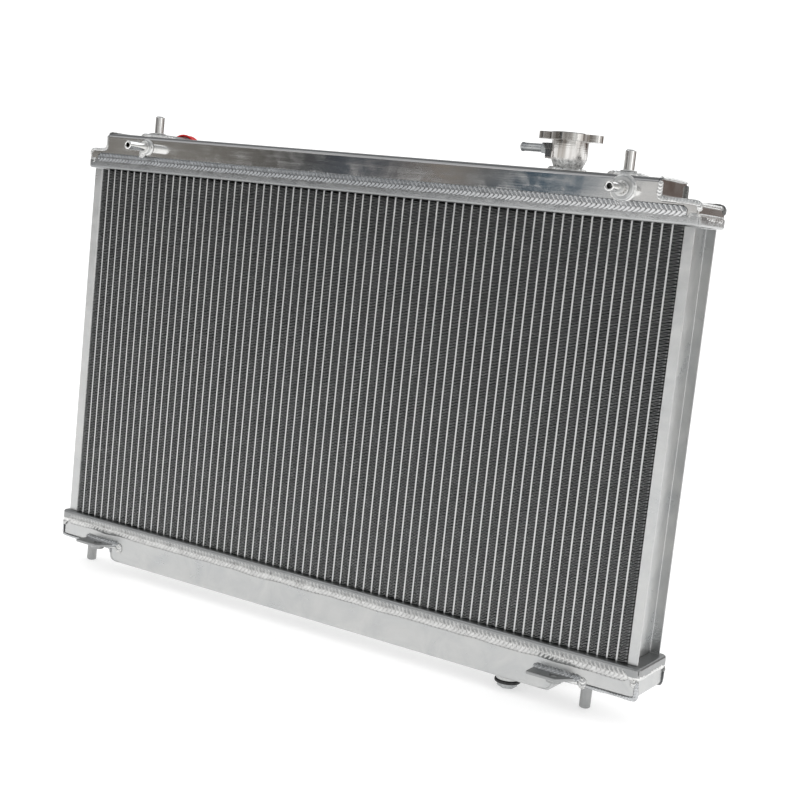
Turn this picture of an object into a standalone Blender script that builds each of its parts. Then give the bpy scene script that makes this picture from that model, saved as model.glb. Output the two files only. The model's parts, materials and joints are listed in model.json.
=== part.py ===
"""Aluminium car radiator: a brazed tube and fin core between two welded sheet tanks.

Frame: metres, +Z up, +X along the width, the front face towards -Y.
Origin: middle of the width, middle of the core's depth, level with the lower pins' end faces.
"""

import math

import bmesh
import bpy
from mathutils import Matrix, Vector

# ---------------------------------------------------------------- driving dimensions (metres)

GAP = 0.0003                      # clearance between pieces that touch

CORE_WIDTH = 0.700
CORE_HEIGHT = 0.400
CORE_DEPTH = 0.054
CORE_BOTTOM = 0.0615              # height of the core's underside above the lower pins' ends
CORE_TOP = CORE_BOTTOM + CORE_HEIGHT
TUBE_COUNT = 71
TUBE_PITCH = CORE_WIDTH / (TUBE_COUNT + 1)
TUBE_THICKNESS = 0.002
TUBE_ROW_GAP = 0.003              # space between the front and the rear row of tubes

SHEET = 0.002                     # tank and header sheet
HEADER_HALF_WIDTH = 0.367
HEADER_HALF_DEPTH = 0.034
HEADER_LIP = 0.009
HEADER_CORNER = 0.006
HEADER_FOLD = 0.0025

TANK_HALF_WIDTH = 0.3648
TANK_HALF_DEPTH = 0.032
TANK_FOLD = 0.005                 # outer radius of the tanks' long folds
TOP_TANK_RISE = 0.0400            # core top to the top of the tall middle section
TOP_LEDGE_RISE = 0.0212           # core top to the top of the low ends
TOP_STEP_LEFT = -0.3410
TOP_STEP_RIGHT = 0.3260
BOTTOM_TANK_DROP = 0.0460         # core underside to the bottom of the deep middle section
BOTTOM_LEDGE_DROP = 0.0300
BOTTOM_STEP_LEFT = -0.2880
BOTTOM_STEP_RIGHT = 0.2830
END_CORNER = 0.005                # bend radius of the end strips
BOTTOM_CROWNS = (0.0095, 0.0108)  # radius from the bottom into its left and right steps

SIDE_PLATE_SHEET = 0.0015
SIDE_PLATE_FLANGE = 0.0110

UPPER_PIN_X = 0.2847
UPPER_PIN_Y = -0.010
UPPER_PIN_RADIUS = 0.005
UPPER_PIN_RISE = 0.0635           # core top to the pins' ends
UPPER_PAD_RADIUS = 0.0165
UPPER_PAD_THICKNESS = 0.0026

LOWER_PIN_LEFT_X = -0.3465
LOWER_PIN_RIGHT_X = 0.3037
LOWER_PIN_RADIUS = 0.0055

STANDOFF_LEFT_X = -0.2810
STANDOFF_RIGHT_X = 0.2910
STANDOFF_RISE = 0.0275            # core top to the stand-offs' axis
STANDOFF_RADIUS = 0.0048
STANDOFF_BORE = 0.0025
STANDOFF_END_Y = -0.063
STANDOFF_PAD_LEFT_RADIUS = 0.0078
STANDOFF_PAD_RIGHT_RADIUS = 0.0115
STANDOFF_PAD_THICKNESS = 0.003
EDGE_CHAMFER = 0.0012             # on the pins' ends and the pads' rims

BRACKET_LEFT_X = -0.3240          # left edge of each lower bracket
BRACKET_RIGHT_X = 0.2620
BRACKET_TOP_DROP = 0.0245         # core underside to the brackets' top face
BRACKET_THICKNESS = 0.003
BRACKET_TIP_WIDTH = 0.031
BRACKET_WAIST_WIDTH = 0.039
BRACKET_ROOT_WIDTH = 0.046
BRACKET_SPLAY = 0.011             # front edge to where the right side starts to splay
BRACKET_FRONT_Y = -0.052
BRACKET_HOLE_OFFSET = 0.025
BRACKET_HOLE_Y = -0.0415
BRACKET_HOLE_RADIUS = 0.0042
BUSH_RADIUS = 0.0072
BUSH_HEIGHT = 0.0033

NECK_X = 0.2185
NECK_TOP_RISE = 0.0752            # core top to the rim's top face
NECK_RIM_RADIUS = 0.0202
NECK_RIM_HEIGHT = 0.0072
NECK_BODY_RADIUS = 0.0173
NECK_FOOT_RADIUS = 0.0130
NECK_BORE_RADIUS = 0.0150
NECK_THROAT_RADIUS = 0.0098
NECK_SEAT_DROP = 0.0190           # rim's top face to the cap's sealing seat
NECK_TAPER_DROP = 0.0235          # rim's top face to the start of the taper
NECK_EAR_REACH = 0.0304
NECK_EAR_HALF_WIDTH = 0.0070
NECK_EAR_ROUND = 0.0062
NECK_EAR_TURN = math.radians(15.0)
NIPPLE_RISE = 0.0600
NIPPLE_TIP_X = 0.1676
NIPPLE_RADIUS = 0.0040
NIPPLE_BORE = 0.0026
NIPPLE_BLOCK_X = 0.1962
NIPPLE_BLOCK_DROP = 0.0094        # nipple's axis to the block's underside
NIPPLE_BLOCK_RISE = 0.0050
NIPPLE_SHANK = 0.0050             # how far the nipple screws into its block
NIPPLE_COLLAR = 0.0060            # length of its hexagon
NIPPLE_HEX_RADIUS = 0.0058

PIPE_WALL = 0.0018
PIPE_BEAD = 0.0012
INLET_RADIUS = 0.0182
OUTLET_RADIUS = 0.0172
PIPE_END_Y = 0.0840
INLET_X = -0.3250
INLET_RISE = 0.0284               # core top to the inlet pipe's axis
INLET_START_Y = 0.0235            # front of the part that laps over the tank's rear fold
INLET_BORE_Y = 0.0310             # the pipe is solid in front of this
PORT_START_Y = 0.0285             # the tanks' rear walls are bored from here
PORT_END_Y = 0.0450
OUTLET_X = 0.2350
OUTLET_DROP = 0.0270              # core underside to the outlet pipe's axis

CAP_CLEARANCE = 0.0018            # pipe's outside to the cap's bore
CAP_START_Y = 0.0765
CAP_LIP = 0.0006
CAP_SHEET = 0.0014
CAP_END_SPACE = 0.0030            # pipe's end to the cap's inner end

DRAIN_X = 0.2246
DRAIN_Y = -0.010
DRAIN_BOSS_RADIUS = 0.0118
DRAIN_BOSS_HEIGHT = 0.0055
DRAIN_WASHER_RADIUS = 0.0130
DRAIN_WASHER_HEIGHT = 0.0028
DRAIN_HEAD_ACROSS = 0.0200        # hexagon, corner to corner
DRAIN_HEAD_HEIGHT = 0.0050
DRAIN_SHANK_RADIUS = 0.0060
DRAIN_SHANK_LENGTH = 0.0150

ROUND_STEPS = 36
SMALL_STEPS = 24
BEND_STEPS = 5
FOLD_STEPS = 3
SMOOTH_ANGLE = math.radians(35.0)

# ---------------------------------------------------------------- derived heights

TANK_TOP = CORE_TOP + TOP_TANK_RISE
TOP_LEDGE = CORE_TOP + TOP_LEDGE_RISE
TANK_BOTTOM = CORE_BOTTOM - BOTTOM_TANK_DROP
BOTTOM_LEDGE = CORE_BOTTOM - BOTTOM_LEDGE_DROP
TUBE_DEPTH = (CORE_DEPTH - TUBE_ROW_GAP) / 2.0
DRAIN_BOSS_BOTTOM = TANK_BOTTOM - GAP - DRAIN_BOSS_HEIGHT
DRAIN_WASHER_BOTTOM = DRAIN_BOSS_BOTTOM - GAP - DRAIN_WASHER_HEIGHT

ALONG_Y = Matrix.Rotation(math.radians(-90.0), 4, "X")     # turns a +Z axis to +Y
SECTION_ALONG_X = Matrix.Rotation(math.radians(90.0), 4, "Z") @ Matrix.Rotation(math.radians(90.0), 4, "X")
ALONG_MINUS_X = Matrix.Rotation(math.radians(-90.0), 4, "Y")
ALONG_MINUS_Y = Matrix.Rotation(math.radians(90.0), 4, "X")


# ---------------------------------------------------------------- scene, collections, materials

def clear_scene():
    for old in list(bpy.data.objects):
        bpy.data.objects.remove(old, do_unlink=True)


def new_collection(name):
    collection = bpy.data.collections.new(name)
    bpy.context.scene.collection.children.link(collection)
    return collection


def new_material(name, colour, roughness, metallic):
    material = bpy.data.materials.new(name)
    material.use_nodes = True
    shader = material.node_tree.nodes["Principled BSDF"]
    shader.inputs["Base Color"].default_value = (*colour, 1.0)
    shader.inputs["Roughness"].default_value = roughness
    shader.inputs["Metallic"].default_value = metallic
    material.diffuse_color = (*colour, 1.0)
    return material


# ---------------------------------------------------------------- mesh helpers

def mesh_of(name, bm):
    bmesh.ops.recalc_face_normals(bm, faces=bm.faces)
    mesh = bpy.data.meshes.new(name)
    bm.to_mesh(mesh)
    bm.free()
    return mesh


def add_box(bm, low, high):
    size = Vector(high) - Vector(low)
    middle = (Vector(high) + Vector(low)) / 2.0
    place = Matrix.Translation(middle) @ Matrix.Diagonal((*size, 1.0))
    return bmesh.ops.create_cube(bm, size=1.0, matrix=place)


def box_mesh(name, low, high):
    bm = bmesh.new()
    add_box(bm, low, high)
    return mesh_of(name, bm)


def round_edges(bm, chosen, radius, steps):
    edges = [edge for edge in bm.edges if chosen(edge)]
    bmesh.ops.bevel(
        bm, geom=edges, offset=radius, segments=steps, profile=0.5, affect="EDGES",
        offset_type="OFFSET", clamp_overlap=True,
    )


def is_upright(edge):
    way = edge.verts[1].co - edge.verts[0].co
    return abs(way.z) > 0.9 * way.length


def at_level(level):
    """A test for edges that lie wholly at the given height."""
    return lambda edge: all(abs(vert.co.z - level) < 1e-6 for vert in edge.verts)


def rod_mesh(name, radius, low, high, steps, low_chamfer=0.0, high_chamfer=0.0):
    """A cylinder along Z from low to high, its ends chamfered by the given amounts."""
    bm = bmesh.new()
    place = Matrix.Translation((0.0, 0.0, (low + high) / 2.0))
    bmesh.ops.create_cone(
        bm, cap_ends=True, segments=steps, radius1=radius, radius2=radius,
        depth=high - low, matrix=place,
    )
    for level, chamfer in ((low, low_chamfer), (high, high_chamfer)):
        if chamfer > 0.0:
            round_edges(bm, at_level(level), chamfer, 1)
    return mesh_of(name, bm)


def arc_corner(before, corner, after, radius, steps):
    """Points of an arc of the given radius that rounds one corner of a path."""
    into = (Vector(before) - Vector(corner)).normalized()
    out = (Vector(after) - Vector(corner)).normalized()
    half = into.angle(out) / 2.0
    reach = radius / math.tan(half)
    centre = Vector(corner) + (into + out).normalized() * radius / math.sin(half)
    start = Vector(corner) + into * reach - centre
    stop = Vector(corner) + out * reach - centre
    sweep = start.angle_signed(stop)
    points = []
    for step in range(steps + 1):
        turn = Matrix.Rotation(-sweep * step / steps, 2)
        points.append(tuple(centre + turn @ start))
    return points


def rounded_path(corners, closed, steps=BEND_STEPS):
    """Corners are (u, v, radius); a radius of 0 keeps the corner sharp."""
    points = []
    count = len(corners)
    for index, (u, v, radius) in enumerate(corners):
        is_end = not closed and index in (0, count - 1)
        if radius == 0.0 or is_end:
            points.append((u, v))
            continue
        before = corners[index - 1][:2]
        after = corners[(index + 1) % count][:2]
        points.extend(arc_corner(before, (u, v), after, radius, steps))
    return points


def prism_mesh(name, outline, thickness, matrix):
    """A flat outline given a thickness, centred on its plane, then placed by the matrix."""
    curve = bpy.data.curves.new(name, "CURVE")
    curve.dimensions = "2D"
    curve.fill_mode = "BOTH"
    curve.extrude = thickness / 2.0
    spline = curve.splines.new("POLY")
    spline.points.add(len(outline) - 1)
    for point, (u, v) in zip(spline.points, outline):
        point.co = (u, v, 0.0, 1.0)
    spline.use_cyclic_u = True
    guide = bpy.data.objects.new(name, curve)
    bpy.context.scene.collection.objects.link(guide)
    graph = bpy.context.evaluated_depsgraph_get()
    mesh = bpy.data.meshes.new_from_object(guide.evaluated_get(graph))
    bpy.data.objects.remove(guide, do_unlink=True)
    bm = bmesh.new()
    bm.from_mesh(mesh)
    bmesh.ops.remove_doubles(bm, verts=bm.verts, dist=1e-6)
    bmesh.ops.transform(bm, matrix=matrix, verts=bm.verts)
    bpy.data.meshes.remove(mesh)
    return mesh_of(name, bm)


def strip_mesh(name, path, low, high, place):
    """An open surface: the path (u, v) swept from low to high; place maps (u, v, w) to a point."""
    bm = bmesh.new()
    verts = [bm.verts.new(place(u, v, low)) for u, v in path]
    edges = [bm.edges.new(pair) for pair in zip(verts, verts[1:])]
    grown = bmesh.ops.extrude_edge_only(bm, edges=edges)
    moved = [item for item in grown["geom"] if isinstance(item, bmesh.types.BMVert)]
    step = Vector(place(0.0, 0.0, high)) - Vector(place(0.0, 0.0, low))
    bmesh.ops.translate(bm, vec=step, verts=moved)
    return mesh_of(name, bm)


def profile_mesh(name, profile, closed):
    """The edges of a turned piece's profile, as (radius, height) pairs, for a Screw modifier."""
    bm = bmesh.new()
    verts = [bm.verts.new((radius, 0.0, height)) for radius, height in profile]
    pairs = list(zip(verts, verts[1:]))
    if closed:
        pairs.append((verts[-1], verts[0]))
    for pair in pairs:
        bm.edges.new(pair)
    mesh = bpy.data.meshes.new(name)
    bm.to_mesh(mesh)
    bm.free()
    return mesh


# ---------------------------------------------------------------- object helpers

def add_object(name, mesh, collection, material=None, location=(0.0, 0.0, 0.0), turn=None):
    piece = bpy.data.objects.new(name, mesh)
    collection.objects.link(piece)
    if material is not None and not mesh.materials:
        mesh.materials.append(material)
    piece.matrix_world = Matrix.Translation(location) @ (turn or Matrix.Identity(4))
    return piece


def shade_round(piece):
    piece.data.shade_smooth()
    piece.data.set_sharp_from_angle(angle=SMOOTH_ANGLE)


def add_cutter(name, mesh, collection, location=(0.0, 0.0, 0.0), turn=None):
    cutter = add_object(name, mesh, collection, None, location, turn)
    cutter.hide_render = True
    cutter.display_type = "WIRE"
    return cutter


def add_screw(piece, steps):
    screw = piece.modifiers.new("turn", "SCREW")
    screw.axis = "Z"
    screw.steps = steps
    screw.render_steps = steps
    screw.use_merge_vertices = True
    screw.merge_threshold = 0.00005
    screw.use_smooth_shade = False
    weld = piece.modifiers.new("weld", "WELD")
    weld.merge_threshold = 0.00002


def turned(name, profile, closed, collection, material, location, turn=None, steps=ROUND_STEPS):
    mesh = profile_mesh(name, profile, closed)
    piece = add_object(name, mesh, collection, material, location, turn)
    add_screw(piece, steps)
    return piece


def add_boolean(piece, other, operation):
    cut = piece.modifiers.new(other.name, "BOOLEAN")
    cut.operation = operation
    cut.solver = "EXACT"
    cut.object = other


def add_sheet_thickness(piece, thickness, side):
    solid = piece.modifiers.new("sheet", "SOLIDIFY")
    solid.thickness = thickness
    solid.offset = side
    solid.use_even_offset = True


def xz(u, v, w):
    return (u, w, v)


def xy(u, v, w):
    return (u, v, w)


def yz(u, v, w):
    return (w, u, v)


# ---------------------------------------------------------------- core

def tube_centres():
    return [(index - (TUBE_COUNT - 1) / 2.0) * TUBE_PITCH for index in range(TUBE_COUNT)]


def header_bmesh(floor_z, lip_z):
    """A pressed tray: its floor lies at floor_z, and its lip reaches lip_z, above or below."""
    low = min(floor_z, lip_z)
    high = max(floor_z, lip_z)
    wide = HEADER_HALF_WIDTH
    deep = HEADER_HALF_DEPTH
    bm = bmesh.new()
    add_box(bm, (-wide, -deep, low), (wide, deep, high))
    round_edges(bm, is_upright, HEADER_CORNER, BEND_STEPS)
    round_edges(bm, at_level(floor_z), HEADER_FOLD, FOLD_STEPS)
    return bm


def header_cavity(name, floor_z, lip_z, cutters):
    """What the tray is hollowed by: a square-cornered space that the tank's foot fits."""
    way = 1.0 if lip_z > floor_z else -1.0
    start = floor_z + way * SHEET
    stop = lip_z + way * 0.005
    wide = HEADER_HALF_WIDTH - SHEET + GAP
    deep = HEADER_HALF_DEPTH - SHEET + GAP
    bm = bmesh.new()
    add_box(bm, (-wide, -deep, min(start, stop)), (wide, deep, max(start, stop)))
    return add_cutter(name, mesh_of(name, bm), cutters)


def build_top_header(parts, cutters, metal):
    """The upper header tray with both rows of flat tubes brazed into it."""
    lip = CORE_TOP + HEADER_LIP
    tray = mesh_of("top_header", header_bmesh(CORE_TOP, lip))
    piece = add_object("top_header_with_tubes", tray, parts, metal)
    add_boolean(piece, header_cavity("top_header_cavity", CORE_TOP, lip, cutters), "DIFFERENCE")
    bm = bmesh.new()
    half = TUBE_THICKNESS / 2.0
    for centre in tube_centres():
        for near in (-CORE_DEPTH / 2.0, TUBE_ROW_GAP / 2.0):
            add_box(
                bm, (centre - half, near, CORE_BOTTOM + GAP),
                (centre + half, near + TUBE_DEPTH, CORE_TOP + SHEET / 2.0),
            )
    tubes = add_cutter("tube_rows", mesh_of("tube_rows", bm), cutters)
    add_boolean(piece, tubes, "UNION")


def build_bottom_header(parts, cutters, metal):
    lip = CORE_BOTTOM - HEADER_LIP
    tray = mesh_of("bottom_header", header_bmesh(CORE_BOTTOM, lip))
    piece = add_object("bottom_header_plate", tray, parts, metal)
    add_boolean(piece, header_cavity("bottom_header_cavity", CORE_BOTTOM, lip, cutters), "DIFFERENCE")


def build_fin_pack(parts, metal):
    """All fin columns as one comb, joined only in the gap between the two rows of tubes."""
    half_slot = TUBE_THICKNESS / 2.0 + GAP
    deep = CORE_DEPTH / 2.0
    web = TUBE_ROW_GAP / 2.0 - GAP
    wide = CORE_WIDTH / 2.0 - GAP
    front = [(-wide, -deep)]
    for centre in tube_centres():
        front.append((centre - half_slot, -deep))
        front.append((centre - half_slot, -web))
        front.append((centre + half_slot, -web))
        front.append((centre + half_slot, -deep))
    front.append((wide, -deep))
    rear = [(u, -v) for u, v in reversed(front)]
    low = CORE_BOTTOM + GAP
    high = CORE_TOP - GAP
    place = Matrix.Translation((0.0, 0.0, (low + high) / 2.0))
    add_object("fin_pack", prism_mesh("fin_pack", front + rear, high - low, place), parts, metal)


def build_side_plates(parts, metal):
    """Channels that close the core's sides, their flanges pointing outwards."""
    deep = CORE_DEPTH / 2.0
    inner = CORE_WIDTH / 2.0 + GAP
    outer = inner + SIDE_PLATE_FLANGE
    bend = SIDE_PLATE_SHEET + 0.0008
    for side, name in ((-1.0, "side_plate_left"), (1.0, "side_plate_right")):
        corners = [
            (side * outer, -deep, 0.0),
            (side * inner, -deep, bend),
            (side * inner, deep, bend),
            (side * outer, deep, 0.0),
        ]
        path = rounded_path(corners, False, FOLD_STEPS)
        mesh = strip_mesh(name, path, CORE_BOTTOM + GAP, CORE_TOP - GAP, xy)
        piece = add_object(name, mesh, parts, metal)
        add_sheet_thickness(piece, SIDE_PLATE_SHEET, side_towards(mesh, (side * 1.0, 0.0, 0.0)))


def side_towards(mesh, point):
    """Solidify's offset that grows an open sheet towards the side of the given point."""
    face = max(mesh.polygons, key=lambda polygon: polygon.area)
    return 1.0 if face.normal.dot(Vector(point) - face.center) > 0.0 else -1.0


# ---------------------------------------------------------------- tanks

def fold_profile(outer_z, open_z, inset):
    """The U section of a folded tank, as corners in Y and Z, offset inwards by inset."""
    way = 1.0 if outer_z > open_z else -1.0
    deep = TANK_HALF_DEPTH - inset
    level = outer_z - way * inset
    radius = TANK_FOLD - inset
    return [
        (-deep, open_z, 0.0),
        (-deep, level, radius),
        (deep, level, radius),
        (deep, open_z, 0.0),
    ]


def tank_envelope(name, outer_z, open_z, cutters):
    """The full tank section along the whole width, used to round the end strips' corners."""
    outline = rounded_path(fold_profile(outer_z, open_z, 0.0), False)
    mesh = prism_mesh(name, outline, 2.0 * HEADER_HALF_WIDTH + 0.02, SECTION_ALONG_X)
    return add_cutter(name, mesh, cutters)


def end_corners(step_x, end_x, crown_z, ledge_z, foot_z, crown_radius):
    """The line of one end strip's outer face, from the tank's crown to its foot, in X and Z."""
    return [
        (step_x, crown_z, crown_radius),
        (step_x, ledge_z, END_CORNER),
        (end_x, ledge_z, END_CORNER),
        (end_x, foot_z, 0.0),
    ]


def build_end_strip(name, corners, envelope, parts, metal, inner_point):
    path = rounded_path(corners, False)
    mesh = strip_mesh(name, path, -TANK_HALF_DEPTH, TANK_HALF_DEPTH, xz)
    piece = add_object(name, mesh, parts, metal)
    add_sheet_thickness(piece, SHEET, strip_side(mesh, inner_point))
    add_boolean(piece, envelope, "INTERSECT")


def strip_side(mesh, inner_point):
    """Solidify's offset that thickens a bent strip towards the tank's inside."""
    near = min(mesh.polygons, key=lambda polygon: (polygon.center - Vector(inner_point)).length)
    return 1.0 if near.normal.dot(Vector(inner_point) - near.center) > 0.0 else -1.0


def build_tank(prefix, levels, steps, crowns, parts, cutters, metal):
    """A folded shell with a bent strip welded into each of its stepped ends."""
    outer_z, ledge_z, foot_z = levels
    envelope = tank_envelope(prefix + "_envelope", outer_z, foot_z, cutters)
    path = rounded_path(fold_profile(outer_z, foot_z, 0.0), False)
    shell_mesh = strip_mesh(prefix + "_shell", path, -TANK_HALF_WIDTH, TANK_HALF_WIDTH, yz)
    shell = add_object(prefix + "_shell", shell_mesh, parts, metal)
    middle = (0.0, 0.0, (outer_z + foot_z) / 2.0)
    add_sheet_thickness(shell, SHEET, side_towards(shell_mesh, middle))
    for side, step_x, crown in zip(("left", "right"), steps, crowns):
        way = -1.0 if side == "left" else 1.0
        end_x = way * TANK_HALF_WIDTH
        corners = end_corners(step_x, end_x, outer_z, ledge_z, foot_z, 0.0)
        if crown > 0.0:
            corners[0] = (step_x, outer_z, crown)
            corners.insert(0, (step_x - way * (crown + 0.004), outer_z, 0.0))
        inner_point = (end_x - way * 0.004, 0.0, (ledge_z + foot_z) / 2.0)
        build_end_strip(f"{prefix}_end_{side}", corners, envelope, parts, metal, inner_point)
        clearance = tank_end_clearance(f"{prefix}_{side}_clearance", corners, outer_z, way, cutters)
        add_boolean(shell, clearance, "DIFFERENCE")
    return shell


def tank_end_clearance(name, corners, outer_z, way, cutters):
    """What the folded shell gives up to an end strip: the space outside the strip's inner face."""
    way_z = 1.0 if outer_z > corners[-1][1] else -1.0
    inset = SHEET + GAP
    far_x = way * (HEADER_HALF_WIDTH + 0.02)
    far_z = outer_z + way_z * 0.02
    inner = []
    for index, (u, v, radius) in enumerate(corners):
        is_ledge_root = index == len(corners) - 3
        grown = radius + inset if is_ledge_root else max(radius - inset, 0.0)
        inner.append((u - way * inset, v - way_z * inset, grown))
    first_u = corners[0][0] if len(corners) > 4 else inner[0][0]
    inner[0] = (first_u, far_z, 0.0)
    if len(corners) > 4:
        inner.insert(1, (first_u, outer_z - way_z * inset, 0.0))
    inner[-1] = (inner[-1][0], corners[-1][1] - way_z * 0.02, 0.0)
    outline = rounded_path(inner + [(far_x, inner[-1][1], 0.0), (far_x, far_z, 0.0)], True)
    stand = Matrix.Rotation(math.radians(90.0), 4, "X")
    return add_cutter(name, prism_mesh(name, outline, 4.0 * TANK_HALF_DEPTH, stand), cutters)


# ---------------------------------------------------------------- filler neck and overflow nipple

def build_filler_neck(parts, cutters, metal):
    """Cast neck: a rim with two ears, a bored body, a block for the nipple and a tapered foot."""
    top = CORE_TOP + NECK_TOP_RISE
    foot = TANK_TOP + GAP
    rim_low = top - NECK_RIM_HEIGHT
    taper = top - NECK_TAPER_DROP
    place = (NECK_X, 0.0, 0.0)
    outer = [
        (0.0, top), (NECK_RIM_RADIUS - 0.0008, top), (NECK_RIM_RADIUS, top - 0.0008),
        (NECK_RIM_RADIUS, rim_low), (NECK_BODY_RADIUS, rim_low), (NECK_BODY_RADIUS, taper),
        (NECK_FOOT_RADIUS, foot + 0.002), (NECK_FOOT_RADIUS + 0.002, foot), (0.0, foot),
    ]
    piece = turned("filler_neck", outer, False, parts, metal, place)
    add_boolean(piece, neck_ears(top, cutters), "UNION")
    nipple_z = CORE_TOP + NIPPLE_RISE
    block_low = (NIPPLE_BLOCK_X, -0.0060, nipple_z - NIPPLE_BLOCK_DROP)
    block_high = (NECK_X - 0.008, 0.0060, nipple_z + NIPPLE_BLOCK_RISE)
    block = box_mesh("nipple_block", block_low, block_high)
    add_boolean(piece, add_cutter("nipple_block", block, cutters), "UNION")
    seat = top - NECK_SEAT_DROP
    mouth = NECK_BORE_RADIUS + 0.0012
    bore = [
        (0.0, top + 0.004), (mouth, top + 0.004), (mouth, top - 0.0010),
        (NECK_BORE_RADIUS, top - 0.0022), (NECK_BORE_RADIUS, seat), (NECK_THROAT_RADIUS, seat),
        (NECK_THROAT_RADIUS, foot - 0.004), (0.0, foot - 0.004),
    ]
    hollow = add_cutter("neck_bore", profile_mesh("neck_bore", bore, False), cutters, place)
    add_screw(hollow, ROUND_STEPS)
    add_boolean(piece, hollow, "DIFFERENCE")
    socket = rod_mesh("nipple_socket", NIPPLE_RADIUS - 0.0004, 0.0, 0.020, SMALL_STEPS)
    drill = add_cutter("nipple_socket", socket, cutters, (NECK_X - 0.009, 0.0, nipple_z), ALONG_MINUS_X)
    add_boolean(piece, drill, "DIFFERENCE")


def neck_ears(top, cutters):
    """The rim's two ears as one bar with rounded ends, turned about the neck's axis."""
    reach = NECK_EAR_REACH
    half = NECK_EAR_HALF_WIDTH
    turn = NECK_EAR_ROUND
    corners = [(-reach, -half, turn), (reach, -half, turn), (reach, half, turn), (-reach, half, turn)]
    step = 0.0002                 # the ears lie this much inside the rim's height at either face
    height = NECK_RIM_HEIGHT - 2.0 * step
    middle = Vector((NECK_X, 0.0, top - step - height / 2.0))
    place = Matrix.Translation(middle) @ Matrix.Rotation(NECK_EAR_TURN, 4, "Z")
    mesh = prism_mesh("neck_ears", rounded_path(corners, True, FOLD_STEPS), height, place)
    return add_cutter("neck_ears", mesh, cutters)


def build_overflow_nipple(parts, cutters, metal):
    """A barbed hose nipple with a hexagon, screwed into the block on the neck."""
    length = NIPPLE_BLOCK_X - NIPPLE_TIP_X
    bead = NIPPLE_RADIUS + 0.0005
    shank = NIPPLE_RADIUS - 0.0007
    outer = [
        (NIPPLE_BORE, length), (NIPPLE_RADIUS - 0.0008, length), (bead, length - 0.0012),
        (bead, length - 0.0028), (NIPPLE_RADIUS, length - 0.0036), (NIPPLE_RADIUS, NIPPLE_COLLAR),
        (NIPPLE_RADIUS - 0.0002, GAP), (shank, GAP), (shank, -NIPPLE_SHANK),
        (NIPPLE_BORE, -NIPPLE_SHANK),
    ]
    place = (NIPPLE_BLOCK_X, 0.0, CORE_TOP + NIPPLE_RISE)
    piece = turned("overflow_nipple", outer, True, parts, metal, place, ALONG_MINUS_X, SMALL_STEPS)
    hexagon = rod_mesh("nipple_hexagon", NIPPLE_HEX_RADIUS, GAP, NIPPLE_COLLAR, 6, 0.0004, 0.0006)
    add_boolean(piece, add_cutter("nipple_hexagon", hexagon, cutters, place, ALONG_MINUS_X), "UNION")
    bore = rod_mesh("nipple_bore", NIPPLE_BORE, -NIPPLE_SHANK - 0.001, length + 0.002, SMALL_STEPS)
    add_boolean(piece, add_cutter("nipple_bore", bore, cutters, place, ALONG_MINUS_X), "DIFFERENCE")


# ---------------------------------------------------------------- hose pipes and their caps

def pipe_profile(radius):
    """The outer end of a hose pipe: its bore's mouth, its chamfered end and its bead."""
    bead = radius + PIPE_BEAD
    end = PIPE_END_Y
    return [
        (radius - PIPE_WALL, end), (radius - 0.0005, end), (radius, end - 0.0008),
        (radius, end - 0.0030), (bead, end - 0.0045), (bead, end - 0.0065), (radius, end - 0.0080),
    ]


def build_inlet_pipe(z, parts, cutters, metal):
    """The upper pipe: higher than the tank, so its closed front laps over the rear fold."""
    radius = INLET_RADIUS
    root = [(0.0, INLET_BORE_Y), (radius - PIPE_WALL, INLET_BORE_Y)]
    front = [(radius, INLET_START_Y), (0.0, INLET_START_Y)]
    profile = root + pipe_profile(radius) + front
    pipe = turned("inlet_pipe", profile, False, parts, metal, (INLET_X, 0.0, z), ALONG_Y)
    section = rounded_path(fold_profile(TANK_TOP, CORE_TOP, -GAP), True)
    saddle = prism_mesh("inlet_saddle", section, 2.0 * HEADER_HALF_WIDTH, SECTION_ALONG_X)
    add_boolean(pipe, add_cutter("inlet_saddle", saddle, cutters), "DIFFERENCE")


def build_outlet_pipe(z, parts, metal):
    """The lower pipe, which stands on the bottom tank's rear face."""
    start = TANK_HALF_DEPTH + GAP
    profile = pipe_profile(OUTLET_RADIUS) + [(OUTLET_RADIUS, start), (OUTLET_RADIUS - PIPE_WALL, start)]
    turned("outlet_pipe", profile, True, parts, metal, (OUTLET_X, 0.0, z), ALONG_Y)


def port_cutter(name, x, z, radius, cutters):
    """The hole that a hose pipe's bore continues through the tank's rear wall."""
    mesh = rod_mesh(name, radius - PIPE_WALL, PORT_START_Y, PORT_END_Y, ROUND_STEPS)
    return add_cutter(name, mesh, cutters, (x, 0.0, z), ALONG_Y)


def build_cap(name, x, z, pipe_radius, parts, plastic):
    """A push-on cap: a cup with a small lip round its mouth; it pulls off along +Y."""
    bore = pipe_radius + CAP_CLEARANCE
    radius = bore + CAP_SHEET
    end = PIPE_END_Y + CAP_END_SPACE
    far = end + CAP_SHEET
    profile = [
        (0.0, far), (radius - 0.0015, far), (radius, far - 0.0015),
        (radius, CAP_START_Y + 0.0025), (radius + CAP_LIP, CAP_START_Y + 0.0020),
        (radius + CAP_LIP, CAP_START_Y), (bore, CAP_START_Y), (bore, end), (0.0, end),
    ]
    return turned(name, profile, False, parts, plastic, (x, 0.0, z), ALONG_Y)


# ---------------------------------------------------------------- pins, stand-offs and brackets

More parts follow.
